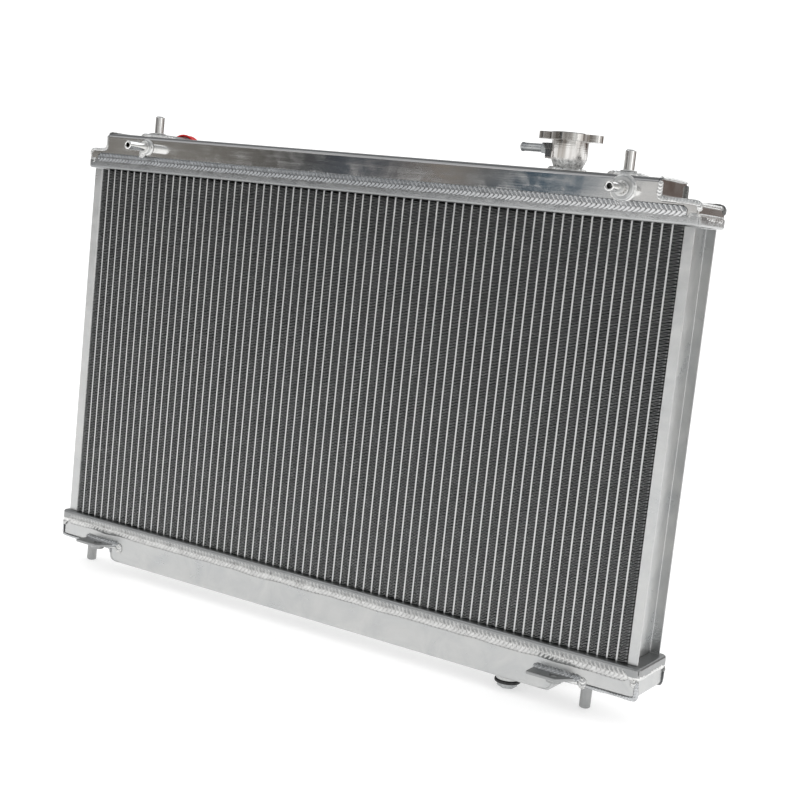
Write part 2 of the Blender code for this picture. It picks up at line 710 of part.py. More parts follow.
def build_upper_pins(parts, metal):
    pad_low = TANK_TOP + GAP
    pad_high = pad_low + UPPER_PAD_THICKNESS
    pin_top = CORE_TOP + UPPER_PIN_RISE
    pin = rod_mesh("upper_pin", UPPER_PIN_RADIUS, pad_high + GAP, pin_top, SMALL_STEPS, 0.0, EDGE_CHAMFER)
    pad = rod_mesh("upper_pin_pad", UPPER_PAD_RADIUS, pad_low, pad_high, ROUND_STEPS, 0.0, EDGE_CHAMFER)
    for side, x in (("left", -UPPER_PIN_X), ("right", UPPER_PIN_X)):
        add_object(f"upper_pin_{side}", pin, parts, metal, (x, UPPER_PIN_Y, 0.0))
        add_object(f"upper_pin_pad_{side}", pad, parts, metal, (x, UPPER_PIN_Y, 0.0))


def build_lower_pins(parts, metal):
    pin_top = BOTTOM_LEDGE - GAP
    mesh = rod_mesh("lower_pin", LOWER_PIN_RADIUS, 0.0, pin_top, SMALL_STEPS, EDGE_CHAMFER, 0.0)
    for side, x in (("left", LOWER_PIN_LEFT_X), ("right", LOWER_PIN_RIGHT_X)):
        add_object(f"lower_pin_{side}", mesh, parts, metal, (x, 0.0, 0.0))


def build_standoffs(parts, metal):
    """Tapped tubes that stand out of the top tank's front, each on a round pad."""
    face = TANK_HALF_DEPTH + GAP
    pad_far = face + STANDOFF_PAD_THICKNESS
    reach = -STANDOFF_END_Y
    low = pad_far + GAP
    chamfer = 0.0006
    tube = [
        (STANDOFF_BORE + chamfer, reach), (STANDOFF_RADIUS - chamfer, reach),
        (STANDOFF_RADIUS, reach - chamfer), (STANDOFF_RADIUS, low),
        (STANDOFF_BORE, low), (STANDOFF_BORE, reach - chamfer),
    ]
    height = CORE_TOP + STANDOFF_RISE
    sides = (
        ("left", STANDOFF_LEFT_X, STANDOFF_PAD_LEFT_RADIUS),
        ("right", STANDOFF_RIGHT_X, STANDOFF_PAD_RIGHT_RADIUS),
    )
    for side, x, radius in sides:
        place = (x, 0.0, height)
        turned(f"standoff_{side}", tube, True, parts, metal, place, ALONG_MINUS_Y, SMALL_STEPS)
        pad = rod_mesh(f"standoff_pad_{side}", radius, face, pad_far, ROUND_STEPS, 0.0, EDGE_CHAMFER)
        add_object(f"standoff_pad_{side}", pad, parts, metal, place, ALONG_MINUS_Y)


def bracket_outline(left):
    """Plan of a lower bracket, in X and Y: square at its left end, splayed at its right."""
    root = -TANK_HALF_DEPTH - GAP
    return [
        (left, root, 0.0),
        (left, BRACKET_FRONT_Y, 0.002),
        (left + BRACKET_TIP_WIDTH, BRACKET_FRONT_Y, 0.004),
        (left + BRACKET_WAIST_WIDTH, BRACKET_FRONT_Y + BRACKET_SPLAY, 0.004),
        (left + BRACKET_ROOT_WIDTH, root, 0.0),
    ]


def build_lower_brackets(parts, cutters, metal):
    """Horizontal plates on the bottom tank's front, each with a hole and a bush under it."""
    top = CORE_BOTTOM - BRACKET_TOP_DROP
    middle = top - BRACKET_THICKNESS / 2.0
    bush_top = top - BRACKET_THICKNESS - GAP
    bush_low = bush_top - BUSH_HEIGHT
    bush = [
        (BUSH_RADIUS, bush_top), (BUSH_RADIUS, bush_low),
        (BRACKET_HOLE_RADIUS, bush_low), (BRACKET_HOLE_RADIUS, bush_top),
    ]
    for side, left in (("left", BRACKET_LEFT_X), ("right", BRACKET_RIGHT_X)):
        name = f"lower_bracket_{side}"
        place = Matrix.Translation((0.0, 0.0, middle))
        outline = rounded_path(bracket_outline(left), True, FOLD_STEPS)
        piece = add_object(name, prism_mesh(name, outline, BRACKET_THICKNESS, place), parts, metal)
        centre = (left + BRACKET_HOLE_OFFSET, BRACKET_HOLE_Y, 0.0)
        drill = rod_mesh(name + "_drill", BRACKET_HOLE_RADIUS, top - 0.010, top + 0.010, SMALL_STEPS)
        add_boolean(piece, add_cutter(name + "_drill", drill, cutters, centre), "DIFFERENCE")
        turned(f"bracket_bush_{side}", bush, True, parts, metal, centre, None, SMALL_STEPS)


# ---------------------------------------------------------------- drain

def build_drain(parts, cutters, shell, alloy, rubber, steel):
    """A tapped boss under the bottom tank, a sealing washer and a hexagon-headed plug."""
    centre = (DRAIN_X, DRAIN_Y, 0.0)
    hole = DRAIN_SHANK_RADIUS + GAP
    boss_top = TANK_BOTTOM - GAP
    boss = [
        (DRAIN_BOSS_RADIUS, boss_top), (DRAIN_BOSS_RADIUS, DRAIN_BOSS_BOTTOM),
        (hole, DRAIN_BOSS_BOTTOM), (hole, boss_top),
    ]
    turned("drain_boss", boss, True, parts, alloy, centre, None, SMALL_STEPS)
    washer_top = DRAIN_BOSS_BOTTOM - GAP
    washer = [
        (DRAIN_WASHER_RADIUS, washer_top), (DRAIN_WASHER_RADIUS, DRAIN_WASHER_BOTTOM),
        (hole, DRAIN_WASHER_BOTTOM), (hole, washer_top),
    ]
    turned("drain_washer", washer, True, parts, rubber, centre, None, SMALL_STEPS)
    head_top = DRAIN_WASHER_BOTTOM - GAP
    head_low = head_top - DRAIN_HEAD_HEIGHT
    shank_top = head_top + DRAIN_SHANK_LENGTH
    head = rod_mesh("drain_plug", DRAIN_HEAD_ACROSS / 2.0, head_low, head_top, 6, EDGE_CHAMFER, 0.0)
    plug = add_object("drain_plug", head, parts, steel, centre)
    shank = rod_mesh(
        "drain_shank", DRAIN_SHANK_RADIUS, head_top - 0.002, shank_top, SMALL_STEPS, 0.0, EDGE_CHAMFER
    )
    add_boolean(plug, add_cutter("drain_shank", shank, cutters, centre), "UNION")
    drill = rod_mesh("drain_drill", hole, TANK_BOTTOM - 0.004, TANK_BOTTOM + 0.006, SMALL_STEPS)
    add_boolean(shell, add_cutter("drain_drill", drill, cutters, centre), "DIFFERENCE")


# ---------------------------------------------------------------- assembly

def build_all():
    clear_scene()
    parts = new_collection("car_radiator")
    cutters = new_collection("cutters")
    satin = new_material("satin_aluminium", (0.74, 0.75, 0.75), 0.34, 1.0)
    polished = new_material("polished_aluminium", (0.83, 0.83, 0.82), 0.12, 1.0)
    tube_metal = new_material("brazed_aluminium", (0.70, 0.71, 0.70), 0.45, 1.0)
    fin_metal = new_material("dark_fins", (0.09, 0.10, 0.10), 0.55, 0.4)
    cast = new_material("cast_aluminium", (0.78, 0.77, 0.75), 0.28, 1.0)
    plated = new_material("plated_steel", (0.60, 0.61, 0.62), 0.30, 1.0)
    red = new_material("red_plastic", (0.72, 0.02, 0.02), 0.38, 0.0)
    black = new_material("black_rubber", (0.02, 0.02, 0.02), 0.70, 0.0)

    build_top_header(parts, cutters, tube_metal)
    build_bottom_header(parts, cutters, satin)
    build_fin_pack(parts, fin_metal)
    build_side_plates(parts, satin)

    header_floor = SHEET + GAP
    top_levels = (TANK_TOP, TOP_LEDGE, CORE_TOP + header_floor)
    top_steps = (TOP_STEP_LEFT, TOP_STEP_RIGHT)
    top_shell = build_tank("top_tank", top_levels, top_steps, (0.0, 0.0), parts, cutters, polished)
    bottom_levels = (TANK_BOTTOM, BOTTOM_LEDGE, CORE_BOTTOM - header_floor)
    bottom_steps = (BOTTOM_STEP_LEFT, BOTTOM_STEP_RIGHT)
    bottom_shell = build_tank(
        "bottom_tank", bottom_levels, bottom_steps, BOTTOM_CROWNS, parts, cutters, satin
    )

    build_filler_neck(parts, cutters, cast)
    build_overflow_nipple(parts, cutters, plated)
    throat = rod_mesh("neck_throat", NECK_THROAT_RADIUS, TANK_TOP - 0.006, TANK_TOP + 0.004, ROUND_STEPS)
    add_boolean(top_shell, add_cutter("neck_throat", throat, cutters, (NECK_X, 0.0, 0.0)), "DIFFERENCE")

    inlet_z = CORE_TOP + INLET_RISE
    outlet_z = CORE_BOTTOM - OUTLET_DROP
    build_inlet_pipe(inlet_z, parts, cutters, satin)
    build_outlet_pipe(outlet_z, parts, satin)
    inlet_port = port_cutter("inlet_port", INLET_X, inlet_z, INLET_RADIUS, cutters)
    outlet_port = port_cutter("outlet_port", OUTLET_X, outlet_z, OUTLET_RADIUS, cutters)
    add_boolean(top_shell, inlet_port, "DIFFERENCE")
    add_boolean(bottom_shell, outlet_port, "DIFFERENCE")
    build_cap("inlet_cap", INLET_X, inlet_z, INLET_RADIUS, parts, red)
    build_cap("outlet_cap", OUTLET_X, outlet_z, OUTLET_RADIUS, parts, red)

    build_upper_pins(parts, polished)
    build_lower_pins(parts, satin)
    build_standoffs(parts, polished)
    build_lower_brackets(parts, cutters, satin)
    build_drain(parts, cutters, bottom_shell, satin, black, plated)
    for piece in parts.objects:
        shade_round(piece)


build_all()
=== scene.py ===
import json
import math

import bmesh
import bpy
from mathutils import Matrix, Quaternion, Vector, noise


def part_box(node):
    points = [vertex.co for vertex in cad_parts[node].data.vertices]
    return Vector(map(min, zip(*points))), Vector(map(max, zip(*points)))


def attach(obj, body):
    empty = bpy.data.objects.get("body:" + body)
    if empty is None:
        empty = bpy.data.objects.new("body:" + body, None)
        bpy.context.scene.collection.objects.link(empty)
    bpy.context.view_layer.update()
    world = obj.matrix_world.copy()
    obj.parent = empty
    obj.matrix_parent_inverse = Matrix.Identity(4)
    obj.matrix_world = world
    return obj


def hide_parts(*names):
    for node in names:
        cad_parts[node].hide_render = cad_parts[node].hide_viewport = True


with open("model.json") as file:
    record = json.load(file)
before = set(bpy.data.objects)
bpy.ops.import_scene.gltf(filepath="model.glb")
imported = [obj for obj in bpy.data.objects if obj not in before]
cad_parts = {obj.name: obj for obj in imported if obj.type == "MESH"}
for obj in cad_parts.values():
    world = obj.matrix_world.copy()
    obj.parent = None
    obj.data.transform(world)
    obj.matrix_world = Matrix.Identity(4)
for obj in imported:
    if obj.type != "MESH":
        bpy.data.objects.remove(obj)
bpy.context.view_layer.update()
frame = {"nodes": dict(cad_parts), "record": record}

ROOT = "radiator"
NODES = frame["nodes"]


# ---------------------------------------------------------------- where the CAD pieces are

def low(node):
    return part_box(node)[0]


def high(node):
    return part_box(node)[1]


def middle(node):
    return (low(node) + high(node)) / 2.0


CAD_GAP = 0.0003            # left between neighbouring CAD solids
TUBES = 71
TUBE_HALF = 0.001
CORE_BOTTOM = high("bottom_header_plate").z
CORE_TOP = high("fin_pack").z + CAD_GAP
CORE_FRONT = low("fin_pack").y
CORE_REAR = high("fin_pack").y
PITCH = 2.0 * (high("fin_pack").x + CAD_GAP) / (TUBES + 1)
TANK_FRONT = low("top_tank_shell").y
TANK_REAR = high("top_tank_shell").y
TANK_TOP = high("top_tank_shell").z
TANK_BOTTOM = low("bottom_tank_shell").z
TANK_END = high("top_tank_end_right").x
TANK_FOLD = 0.005           # radius of the tanks' long folds
TOP_LIP = CORE_TOP + 0.009  # upper edge of the top header
BOTTOM_LIP = low("bottom_header_plate").z
NECK_X = 0.2185

# The stepped ends: X of each upright wall, and Z of the ledge beside it.
STEP_X = {
    "top_tank_end_left": -0.3410, "top_tank_end_right": 0.3260,
    "bottom_tank_end_left": -0.2880, "bottom_tank_end_right": 0.2830,
}
LEDGE_Z = {"top_tank": CORE_TOP + 0.0212, "bottom_tank": CORE_BOTTOM - 0.0300}


# ---------------------------------------------------------------- node trees

class Tree:
    """A short way to write a node tree."""

    def __init__(self, tree):
        self.tree = tree

    def add(self, kind, **values):
        node = self.tree.nodes.new(kind)
        for key, value in values.items():
            setattr(node, key, value)
        return node

    def link(self, source, target):
        self.tree.links.new(source, target)

    def stretched(self, scale):
        node = self.add("ShaderNodeMapping")
        node.inputs["Scale"].default_value = scale
        self.link(self.place, node.inputs["Vector"])
        return node.outputs["Vector"]

    def noise(self, scale, detail=4.0, rough=0.55, stretch=(1.0, 1.0, 1.0), distortion=0.0):
        node = self.add("ShaderNodeTexNoise")
        node.inputs["Scale"].default_value = scale
        node.inputs["Detail"].default_value = detail
        node.inputs["Roughness"].default_value = rough
        node.inputs["Distortion"].default_value = distortion
        self.link(self.stretched(stretch), node.inputs["Vector"])
        return node.outputs["Fac"]

    def cells(self, scale, stretch=(1.0, 1.0, 1.0)):
        node = self.add("ShaderNodeTexVoronoi")
        node.inputs["Scale"].default_value = scale
        self.link(self.stretched(stretch), node.inputs["Vector"])
        return node.outputs["Distance"]

    def ramp(self, source, *stops):
        node = self.add("ShaderNodeValToRGB")
        ramp = node.color_ramp
        while len(ramp.elements) < len(stops):
            ramp.elements.new(0.5)
        for element, (position, colour) in zip(ramp.elements, stops):
            element.position = position
            shade = colour if isinstance(colour, tuple) else (colour, colour, colour)
            element.color = (*shade, 1.0)
        self.link(source, node.inputs["Fac"])
        return node.outputs["Color"]

    def span(self, source, from_low, from_high, to_low, to_high):
        node = self.add("ShaderNodeMapRange")
        for key, value in zip(("From Min", "From Max", "To Min", "To Max"),
                              (from_low, from_high, to_low, to_high)):
            node.inputs[key].default_value = value
        self.link(source, node.inputs["Value"])
        return node.outputs["Result"]

    def math(self, kind, a, b=None):
        node = self.add("ShaderNodeMath", operation=kind)
        for index, value in enumerate((a, b)):
            if value is None:
                continue
            if isinstance(value, (int, float)):
                node.inputs[index].default_value = value
            else:
                self.link(value, node.inputs[index])
        return node.outputs[0]

    def mix(self, share, a, b, kind="MIX"):
        node = self.add("ShaderNodeMix", data_type="RGBA", blend_type=kind)
        for socket, value in ((node.inputs["Factor"], share), (node.inputs[6], a), (node.inputs[7], b)):
            if isinstance(value, tuple):
                socket.default_value = (*value, 1.0)
            elif isinstance(value, (int, float)):
                socket.default_value = value
            else:
                self.link(value, socket)
        return node.outputs[2]

    def axis(self, source, name):
        node = self.add("ShaderNodeSeparateXYZ")
        self.link(source, node.inputs[0])
        return node.outputs[name]

    def bump(self, height, strength, distance, below=None):
        node = self.add("ShaderNodeBump")
        node.inputs["Strength"].default_value = strength
        node.inputs["Distance"].default_value = distance
        self.link(height, node.inputs["Height"])
        if below is not None:
            self.link(below, node.inputs["Normal"])
        return node.outputs["Normal"]


class Look(Tree):
    """A material and its node tree."""

    def __init__(self, name):
        self.material = bpy.data.materials.new(name)
        self.material.use_nodes = True
        super().__init__(self.material.node_tree)
        self.shader = self.tree.nodes["Principled BSDF"]
        self.place = self.add("ShaderNodeTexCoord").outputs["Object"]

    def normal_z(self):
        return self.axis(self.add("ShaderNodeNewGeometry").outputs["Normal"], "Z")

    def from_tube(self):
        """Distance in X from the middle of the nearest tube."""
        above_zero = self.math("ADD", self.axis(self.place, "X"), 100.0 * PITCH)
        return self.math("PINGPONG", above_zero, PITCH / 2.0)

    def finish(self, colour=None, roughness=None, normal=None, metallic=1.0, **values):
        for name, source in (("Base Color", colour), ("Roughness", roughness), ("Normal", normal)):
            if source is None:
                continue
            if isinstance(source, tuple):
                self.shader.inputs[name].default_value = (*source, 1.0)
            elif isinstance(source, (int, float)):
                self.shader.inputs[name].default_value = source
            else:
                self.link(source, self.shader.inputs[name])
        self.shader.inputs["Metallic"].default_value = metallic
        for name, value in values.items():
            self.shader.inputs[name.replace("_", " ")].default_value = value
        return self.material


# ---------------------------------------------------------------- materials

def polished_aluminium():
    """Mirror sheet with hairlines and smudges; its long folds carry a painted dark reflection."""
    n = Look("polished_aluminium_look")
    haze = n.noise(9.0, 5.0, 0.6, (1.0, 1.0, 2.5))
    hairlines = n.noise(420.0, 3.0, 0.6, (0.03, 1.0, 1.0))
    smudge = n.noise(38.0, 6.0, 0.65, (1.0, 1.0, 1.0), 0.6)
    colour = n.ramp(haze, (0.3, (0.78, 0.775, 0.765)), (0.7, (0.88, 0.88, 0.87)))
    colour = n.mix(n.span(smudge, 0.5, 0.72, 0.0, 0.35), colour, (0.66, 0.65, 0.64))
    rough = n.math("ADD", n.span(smudge, 0.42, 0.75, 0.055, 0.17), n.span(hairlines, 0.3, 0.7, 0.0, 0.05))
    # Painted reflection: the tank's long folds are painted dark, as if they mirrored the dark around; the
    # pins' pads are left out.
    upward = n.normal_z()
    fold = n.math("MULTIPLY", n.span(upward, 0.06, 0.25, 0.0, 1.0),
                  n.span(upward, 0.86, 0.97, 1.0, 0.0))
    height = n.axis(n.place, "Z")
    on_tank = n.span(height, TANK_TOP - TANK_FOLD - 0.0006, TANK_TOP - TANK_FOLD, 0.0, 1.0)
    off_pins = n.span(height, TANK_TOP + 0.0002, TANK_TOP + 0.0008, 1.0, 0.0)
    fold = n.math("MULTIPLY", fold, n.math("MULTIPLY", on_tank, off_pins))
    colour = n.mix(n.math("MULTIPLY", fold, 0.72), colour, (0.10, 0.10, 0.105))
    waves = n.bump(n.noise(7.0, 2.0, 0.5, (0.5, 1.0, 1.6)), 0.12, 0.010)
    fine = n.bump(hairlines, 0.05, 0.0006, waves)
    return n.finish(colour, rough, fine)


def satin_aluminium(name="satin_aluminium_look", painted_shade_share=0.0):
    """Mill-finished sheet with blotches, rolling grain and scratches; its second argument darkens it all
    as painted shade.
    """
    n = Look(name)
    blotch = n.noise(26.0, 6.0, 0.62, (1.0, 1.0, 1.0), 0.8)
    grain = n.noise(520.0, 3.0, 0.6, (0.08, 1.0, 1.0))
    scratches = n.cells(95.0, (0.12, 1.0, 1.0))
    colour = n.ramp(blotch, (0.28, (0.48, 0.49, 0.495)), (0.52, (0.565, 0.57, 0.565)),
                    (0.75, (0.64, 0.64, 0.63)))
    # Painted shade: the whole sheet darkened, for a copy used on parts that sit in shade.
    if painted_shade_share:
        colour = n.mix(painted_shade_share, colour, (0.12, 0.125, 0.13))
    rough = n.math("ADD", n.span(blotch, 0.3, 0.75, 0.26, 0.42),
                   n.span(grain, 0.3, 0.7, -0.04, 0.06))
    dents = n.bump(n.noise(14.0, 3.0, 0.5), 0.35, 0.006)
    lines = n.bump(scratches, 0.06, 0.0006, dents)
    normal = n.bump(grain, 0.10, 0.0006, lines)
    return n.finish(colour, rough, normal)


def header_aluminium():
    """Brazed metal: the top header above the core, darkened by painted shade that is heaviest at the
    left, and the bright tubes below it, with painted shade on their flanks.
    """
    n = Look("brazed_aluminium_look")
    bloom = n.noise(55.0, 6.0, 0.65, (1.0, 1.0, 1.0), 0.4)
    grain = n.noise(900.0, 2.0, 0.5)
    colour = n.ramp(bloom, (0.3, (0.56, 0.57, 0.57)), (0.55, (0.66, 0.665, 0.66)),
                    (0.78, (0.76, 0.76, 0.75)))
    header = n.span(n.axis(n.place, "Z"), CORE_TOP - 0.0010, CORE_TOP - 0.0002, 0.0, 1.0)
    tubes = n.math("SUBTRACT", 1.0, header)
    # Painted shade on the header band, heavy at the left and fading towards the right.
    painted_shade_by_x = n.span(n.axis(n.place, "X"), 0.05, 0.33, 0.74, 0.40)
    colour = n.mix(n.math("MULTIPLY", header, painted_shade_by_x), colour, (0.16, 0.165, 0.17))
    # Painted shade on each tube's rounded flanks, so that only a narrow nose stays bright.
    painted_flank_shade = n.math("MULTIPLY", n.span(n.from_tube(), 0.0005, 0.00095, 0.0, 0.82), tubes)
    colour = n.mix(painted_flank_shade, colour, (0.12, 0.125, 0.125))
    header_rough = n.math("MULTIPLY", n.span(bloom, 0.3, 0.75, 0.16, 0.32), header)
    tube_rough = n.math("MULTIPLY", n.span(bloom, 0.3, 0.75, 0.30, 0.48), tubes)
    rough = n.math("ADD", header_rough, tube_rough)
    normal = n.bump(grain, 0.10, 0.0004, n.bump(bloom, 0.18, 0.002))
    return n.finish(colour, rough, normal)


def weld_aluminium(name, tone, dull, painted_light_right=0.0):
    """Weld metal: rough, with oxide in patches, and painted shade in the valleys between its ripples and
    along its edges.

    The last argument paints a highlight on the ripple crests, growing towards the right end of the part.
    """
    n = Look(name)
    patches = n.noise(120.0, 6.0, 0.65, (1.0, 1.0, 1.0), 0.7)
    grain = n.noise(1400.0, 3.0, 0.6)
    # The ripple attribute is painted light and shade: low in the valleys and at the bead's edges, high on
    # the crests.
    ripple_light_and_shade = n.add("ShaderNodeAttribute", attribute_name="ripple").outputs["Fac"]
    dark = tuple(channel * 0.70 for channel in tone)
    light = tuple(min(channel * 1.18, 0.95) for channel in tone)
    valley_painted_shade = tuple(channel * 0.16 for channel in tone)
    colour = n.ramp(patches, (0.30, dark), (0.55, tone), (0.78, light))
    # Painted shade in the ripple valleys and along the bead's edges.
    colour = n.mix(n.span(ripple_light_and_shade, 0.0, 0.55, 0.80, 0.0), colour, valley_painted_shade)
    # Painted highlight on the ripple crests, stronger towards the right end.
    if painted_light_right:
        share = n.span(n.axis(n.place, "X"), 0.05, 0.34, 0.0, painted_light_right)
        share = n.math("MULTIPLY", share, n.span(ripple_light_and_shade, 0.2, 0.7, 0.15, 1.0))
        colour = n.mix(share, colour, (0.92, 0.92, 0.92))
    rough = n.span(patches, 0.3, 0.75, dull - 0.10, dull + 0.12)
    lumps = n.bump(n.noise(330.0, 5.0, 0.65), 0.24, 0.0011, n.bump(patches, 0.20, 0.0010))
    normal = n.bump(grain, 0.14, 0.0004, lumps)
    return n.finish(colour, rough, normal)


def fin_aluminium():
    """Thin strip: its bright metal shows beside the tubes and along its cut edges; the walls between are
    painted near black as painted shade.
    """
    n = Look("dark_fins_look")
    true_normal = n.add("ShaderNodeNewGeometry").outputs["True Normal"]
    facing = n.math("ABSOLUTE", n.axis(true_normal, "Y"))
    edge = n.span(facing, 0.8, 0.95, 0.0, 1.0)
    # Painted shade: the bright cut edges fade darker towards the top of the core.
    edge = n.math("MULTIPLY", edge, n.span(n.axis(n.place, "Z"), CORE_BOTTOM, CORE_TOP, 0.88, 0.48))
    contact = n.span(n.from_tube(), 0.0014, 0.0019, 0.80, 0.0)
    shade_and_tone_noise = n.noise(160.0, 5.0, 0.6)
    # Painted shade: the walls between the edges and the tubes are painted near black.
    wall = n.ramp(shade_and_tone_noise, (0.3, (0.006, 0.008, 0.008)), (0.75, (0.022, 0.027, 0.026)))
    bright = n.ramp(shade_and_tone_noise, (0.3, (0.50, 0.51, 0.51)), (0.7, (0.80, 0.81, 0.81)))
    colour = n.mix(n.math("MAXIMUM", edge, contact), wall, bright)
    normal = n.bump(n.noise(2600.0, 2.0, 0.5, (0.4, 1.0, 1.0)), 0.25, 0.0003)
    return n.finish(colour, n.span(shade_and_tone_noise, 0.3, 0.7, 0.42, 0.60), normal, metallic=0.65)


def cast_neck():
    """Turned and polished above, rough weld-washed metal at the foot; upright streaks of painted
    reflection on the body, and painted shade on faces that look down.
    """
    n = Look("cast_aluminium_look")
    height = n.axis(n.place, "Z")
    foot = n.span(height, TANK_TOP + 0.0085, TANK_TOP + 0.0125, 1.0, 0.0)
    turning = n.noise(1500.0, 2.0, 0.5, (0.02, 0.02, 1.0))
    pits = n.noise(330.0, 6.0, 0.7)
    top_colour = n.ramp(n.noise(60.0, 4.0, 0.6), (0.3, (0.72, 0.705, 0.685)),
                        (0.7, (0.86, 0.855, 0.84)))
    foot_colour = n.ramp(pits, (0.38, (0.24, 0.24, 0.235)), (0.60, (0.74, 0.74, 0.73)))
    # Painted reflection: upright dark brown streaks round the turned body.
    painted_reflection_streaks = n.noise(95.0, 3.0, 0.6, (1.0, 1.0, 0.03))
    top_colour = n.mix(n.span(painted_reflection_streaks, 0.36, 0.58, 0.85, 0.0), top_colour, (0.26, 0.235, 0.21))
    colour = n.mix(foot, top_colour, foot_colour)
    # Painted shade on faces that look down, such as the rim's underside.
    painted_underside_shade = n.span(n.normal_z(), -0.85, -0.6, 1.0, 0.0)
    colour = n.mix(painted_underside_shade, colour, (0.09, 0.08, 0.07))
    rough = n.math("ADD", n.math("MULTIPLY", foot, 0.30), n.span(pits, 0.3, 0.7, 0.07, 0.13))
    rings = n.bump(turning, 0.10, 0.0005)
    crater = n.add("ShaderNodeBump")
    crater.inputs["Distance"].default_value = 0.0011
    n.link(pits, crater.inputs["Height"])
    n.link(rings, crater.inputs["Normal"])
    n.link(n.span(foot, 0.0, 1.0, 0.03, 0.7), crater.inputs["Strength"])
    return n.finish(colour, rough, crater.outputs["Normal"])


def zinc_steel():
    n = Look("plated_steel_look")
    cloud = n.noise(150.0, 5.0, 0.6)
    grain = n.noise(1100.0, 2.0, 0.5, (1.0, 1.0, 0.15))
    colour = n.ramp(cloud, (0.3, (0.30, 0.31, 0.32)), (0.7, (0.50, 0.51, 0.51)))
    return n.finish(colour, n.span(cloud, 0.3, 0.7, 0.22, 0.38), n.bump(grain, 0.15, 0.0004))


def red_polythene():
    n = Look("red_plastic_look")
    flow = n.noise(34.0, 4.0, 0.5, (1.0, 0.4, 1.0), 0.5)
    grain = n.noise(1700.0, 2.0, 0.5)
    colour = n.ramp(flow, (0.3, (0.40, 0.002, 0.003)), (0.7, (0.54, 0.006, 0.006)))
    normal = n.bump(grain, 0.12, 0.0003, n.bump(flow, 0.10, 0.001))
    return n.finish(colour, n.span(flow, 0.3, 0.7, 0.34, 0.46), normal, metallic=0.0,
                    Specular_IOR_Level=0.30)


def black_rubber():
    n = Look("black_rubber_look")
    dust = n.noise(240.0, 6.0, 0.7)
    colour = n.ramp(dust, (0.4, (0.010, 0.010, 0.011)), (0.8, (0.045, 0.044, 0.042)))
    normal = n.bump(dust, 0.25, 0.0006)
    return n.finish(colour, n.span(dust, 0.3, 0.7, 0.55, 0.75), normal, metallic=0.0)


def floor_paint():
    n = Look("studio_floor")
    soft = n.noise(1.6, 2.0, 0.5)
    colour = n.ramp(soft, (0.3, (0.50, 0.50, 0.50)), (0.7, (0.52, 0.52, 0.52)))
    return n.finish(colour, 0.85, metallic=0.0, Emission_Color=(1.0, 1.0, 1.0, 1.0),
                    Emission_Strength=0.55)


POLISHED = polished_aluminium()
SATIN = satin_aluminium()
HEADER = header_aluminium()
# A darker copy of the satin sheet: painted shade, not a duller finish.
SHADED_SATIN = satin_aluminium("shaded_satin_aluminium_look", 0.50)
BEAD = weld_aluminium("weld_bead_look", (0.34, 0.35, 0.36), 0.22, 0.55)
GREY = weld_aluminium("weld_grey_look", (0.54, 0.55, 0.56), 0.26)
PALE = weld_aluminium("weld_pale_look", (0.70, 0.70, 0.69), 0.34)
BLOB = weld_aluminium("weld_blob_look", (0.80, 0.80, 0.79), 0.32)
FINS = fin_aluminium()
NECK = cast_neck()
ZINC = zinc_steel()
RED = red_polythene()
RUBBER = black_rubber()


# ---------------------------------------------------------------- carried-over CAD nodes

LOOKS = {
    "satin_aluminium": SATIN,
    "polished_aluminium": POLISHED,
    "brazed_aluminium": HEADER,
    "dark_fins": FINS,
    "cast_aluminium": NECK,
    "plated_steel": ZINC,
    "red_plastic": RED,
    "black_rubber": RUBBER,
}

# Low parts that get the darker satin copy, painted shade: the bottom header plate, the lower brackets,
# their bushes and the lower pins.
SHADED_NODES = ("bottom_header_plate", "lower_bracket", "bracket_bush", "lower_pin")

# Width of the rounding along hard edges, by the start of a node's name.
ROUNDING = {
    "filler_neck": 0.0006, "inlet_cap": 0.0007, "outlet_cap": 0.0007, "drain_washer": 0.0007,
    "drain_boss": 0.0006, "lower_bracket": 0.0006, "bracket_bush": 0.0006,
}
PLAIN_ROUNDING = 0.0004


def rounding_of(name):
    for start, width in ROUNDING.items():
        if name.startswith(start):
            return width
    return PLAIN_ROUNDING


def soften(node, width):
    """Merges the imported triangles' corners, then rounds the hard edges so that they catch light."""
    mesh = node.data
    if "custom_normal" in mesh.attributes:
        mesh.attributes.remove(mesh.attributes["custom_normal"])
    mesh.shade_smooth()
    weld = node.modifiers.new("weld", "WELD")
    weld.merge_threshold = 0.000002
    flat = node.modifiers.new("flat", "DECIMATE")
    flat.decimate_type = "DISSOLVE"
    flat.angle_limit = math.radians(0.4)
    bevel = node.modifiers.new("bevel", "BEVEL")
    bevel.width = width
    bevel.segments = 2
    bevel.limit_method = "ANGLE"
    bevel.angle_limit = math.radians(32.0)
    bevel.use_clamp_overlap = True
    normals = node.modifiers.new("normals", "WEIGHTED_NORMAL")
    normals.weight = 50
    normals.keep_sharp = True


for entry in frame["record"]["subparts"]:
    name = entry["node"]
    node = NODES[name]
    node.data.materials.clear()
    node.data.materials.append(SHADED_SATIN if name.startswith(SHADED_NODES) else LOOKS[entry["material_slot"]])
    if name != "fin_pack":
        soften(node, rounding_of(name))


# ---------------------------------------------------------------- new pieces

def add_piece(name, bm, material, body=ROOT, smooth=True):
    bmesh.ops.recalc_face_normals(bm, faces=bm.faces)
    mesh = bpy.data.meshes.new(name)
    bm.to_mesh(mesh)
    bm.free()
    if smooth:
        mesh.shade_smooth()
    mesh.materials.append(material)
    piece = bpy.data.objects.new(name, mesh)
    bpy.context.scene.collection.objects.link(piece)
    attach(piece, body)
    return piece


# ---------------------------------------------------------------- corrugated fins

FIN_SHEET = 0.00011         # half the strip's thickness
FIN_PERIOD = 0.0031
FIN_INSET = 0.0004          # from the core's faces


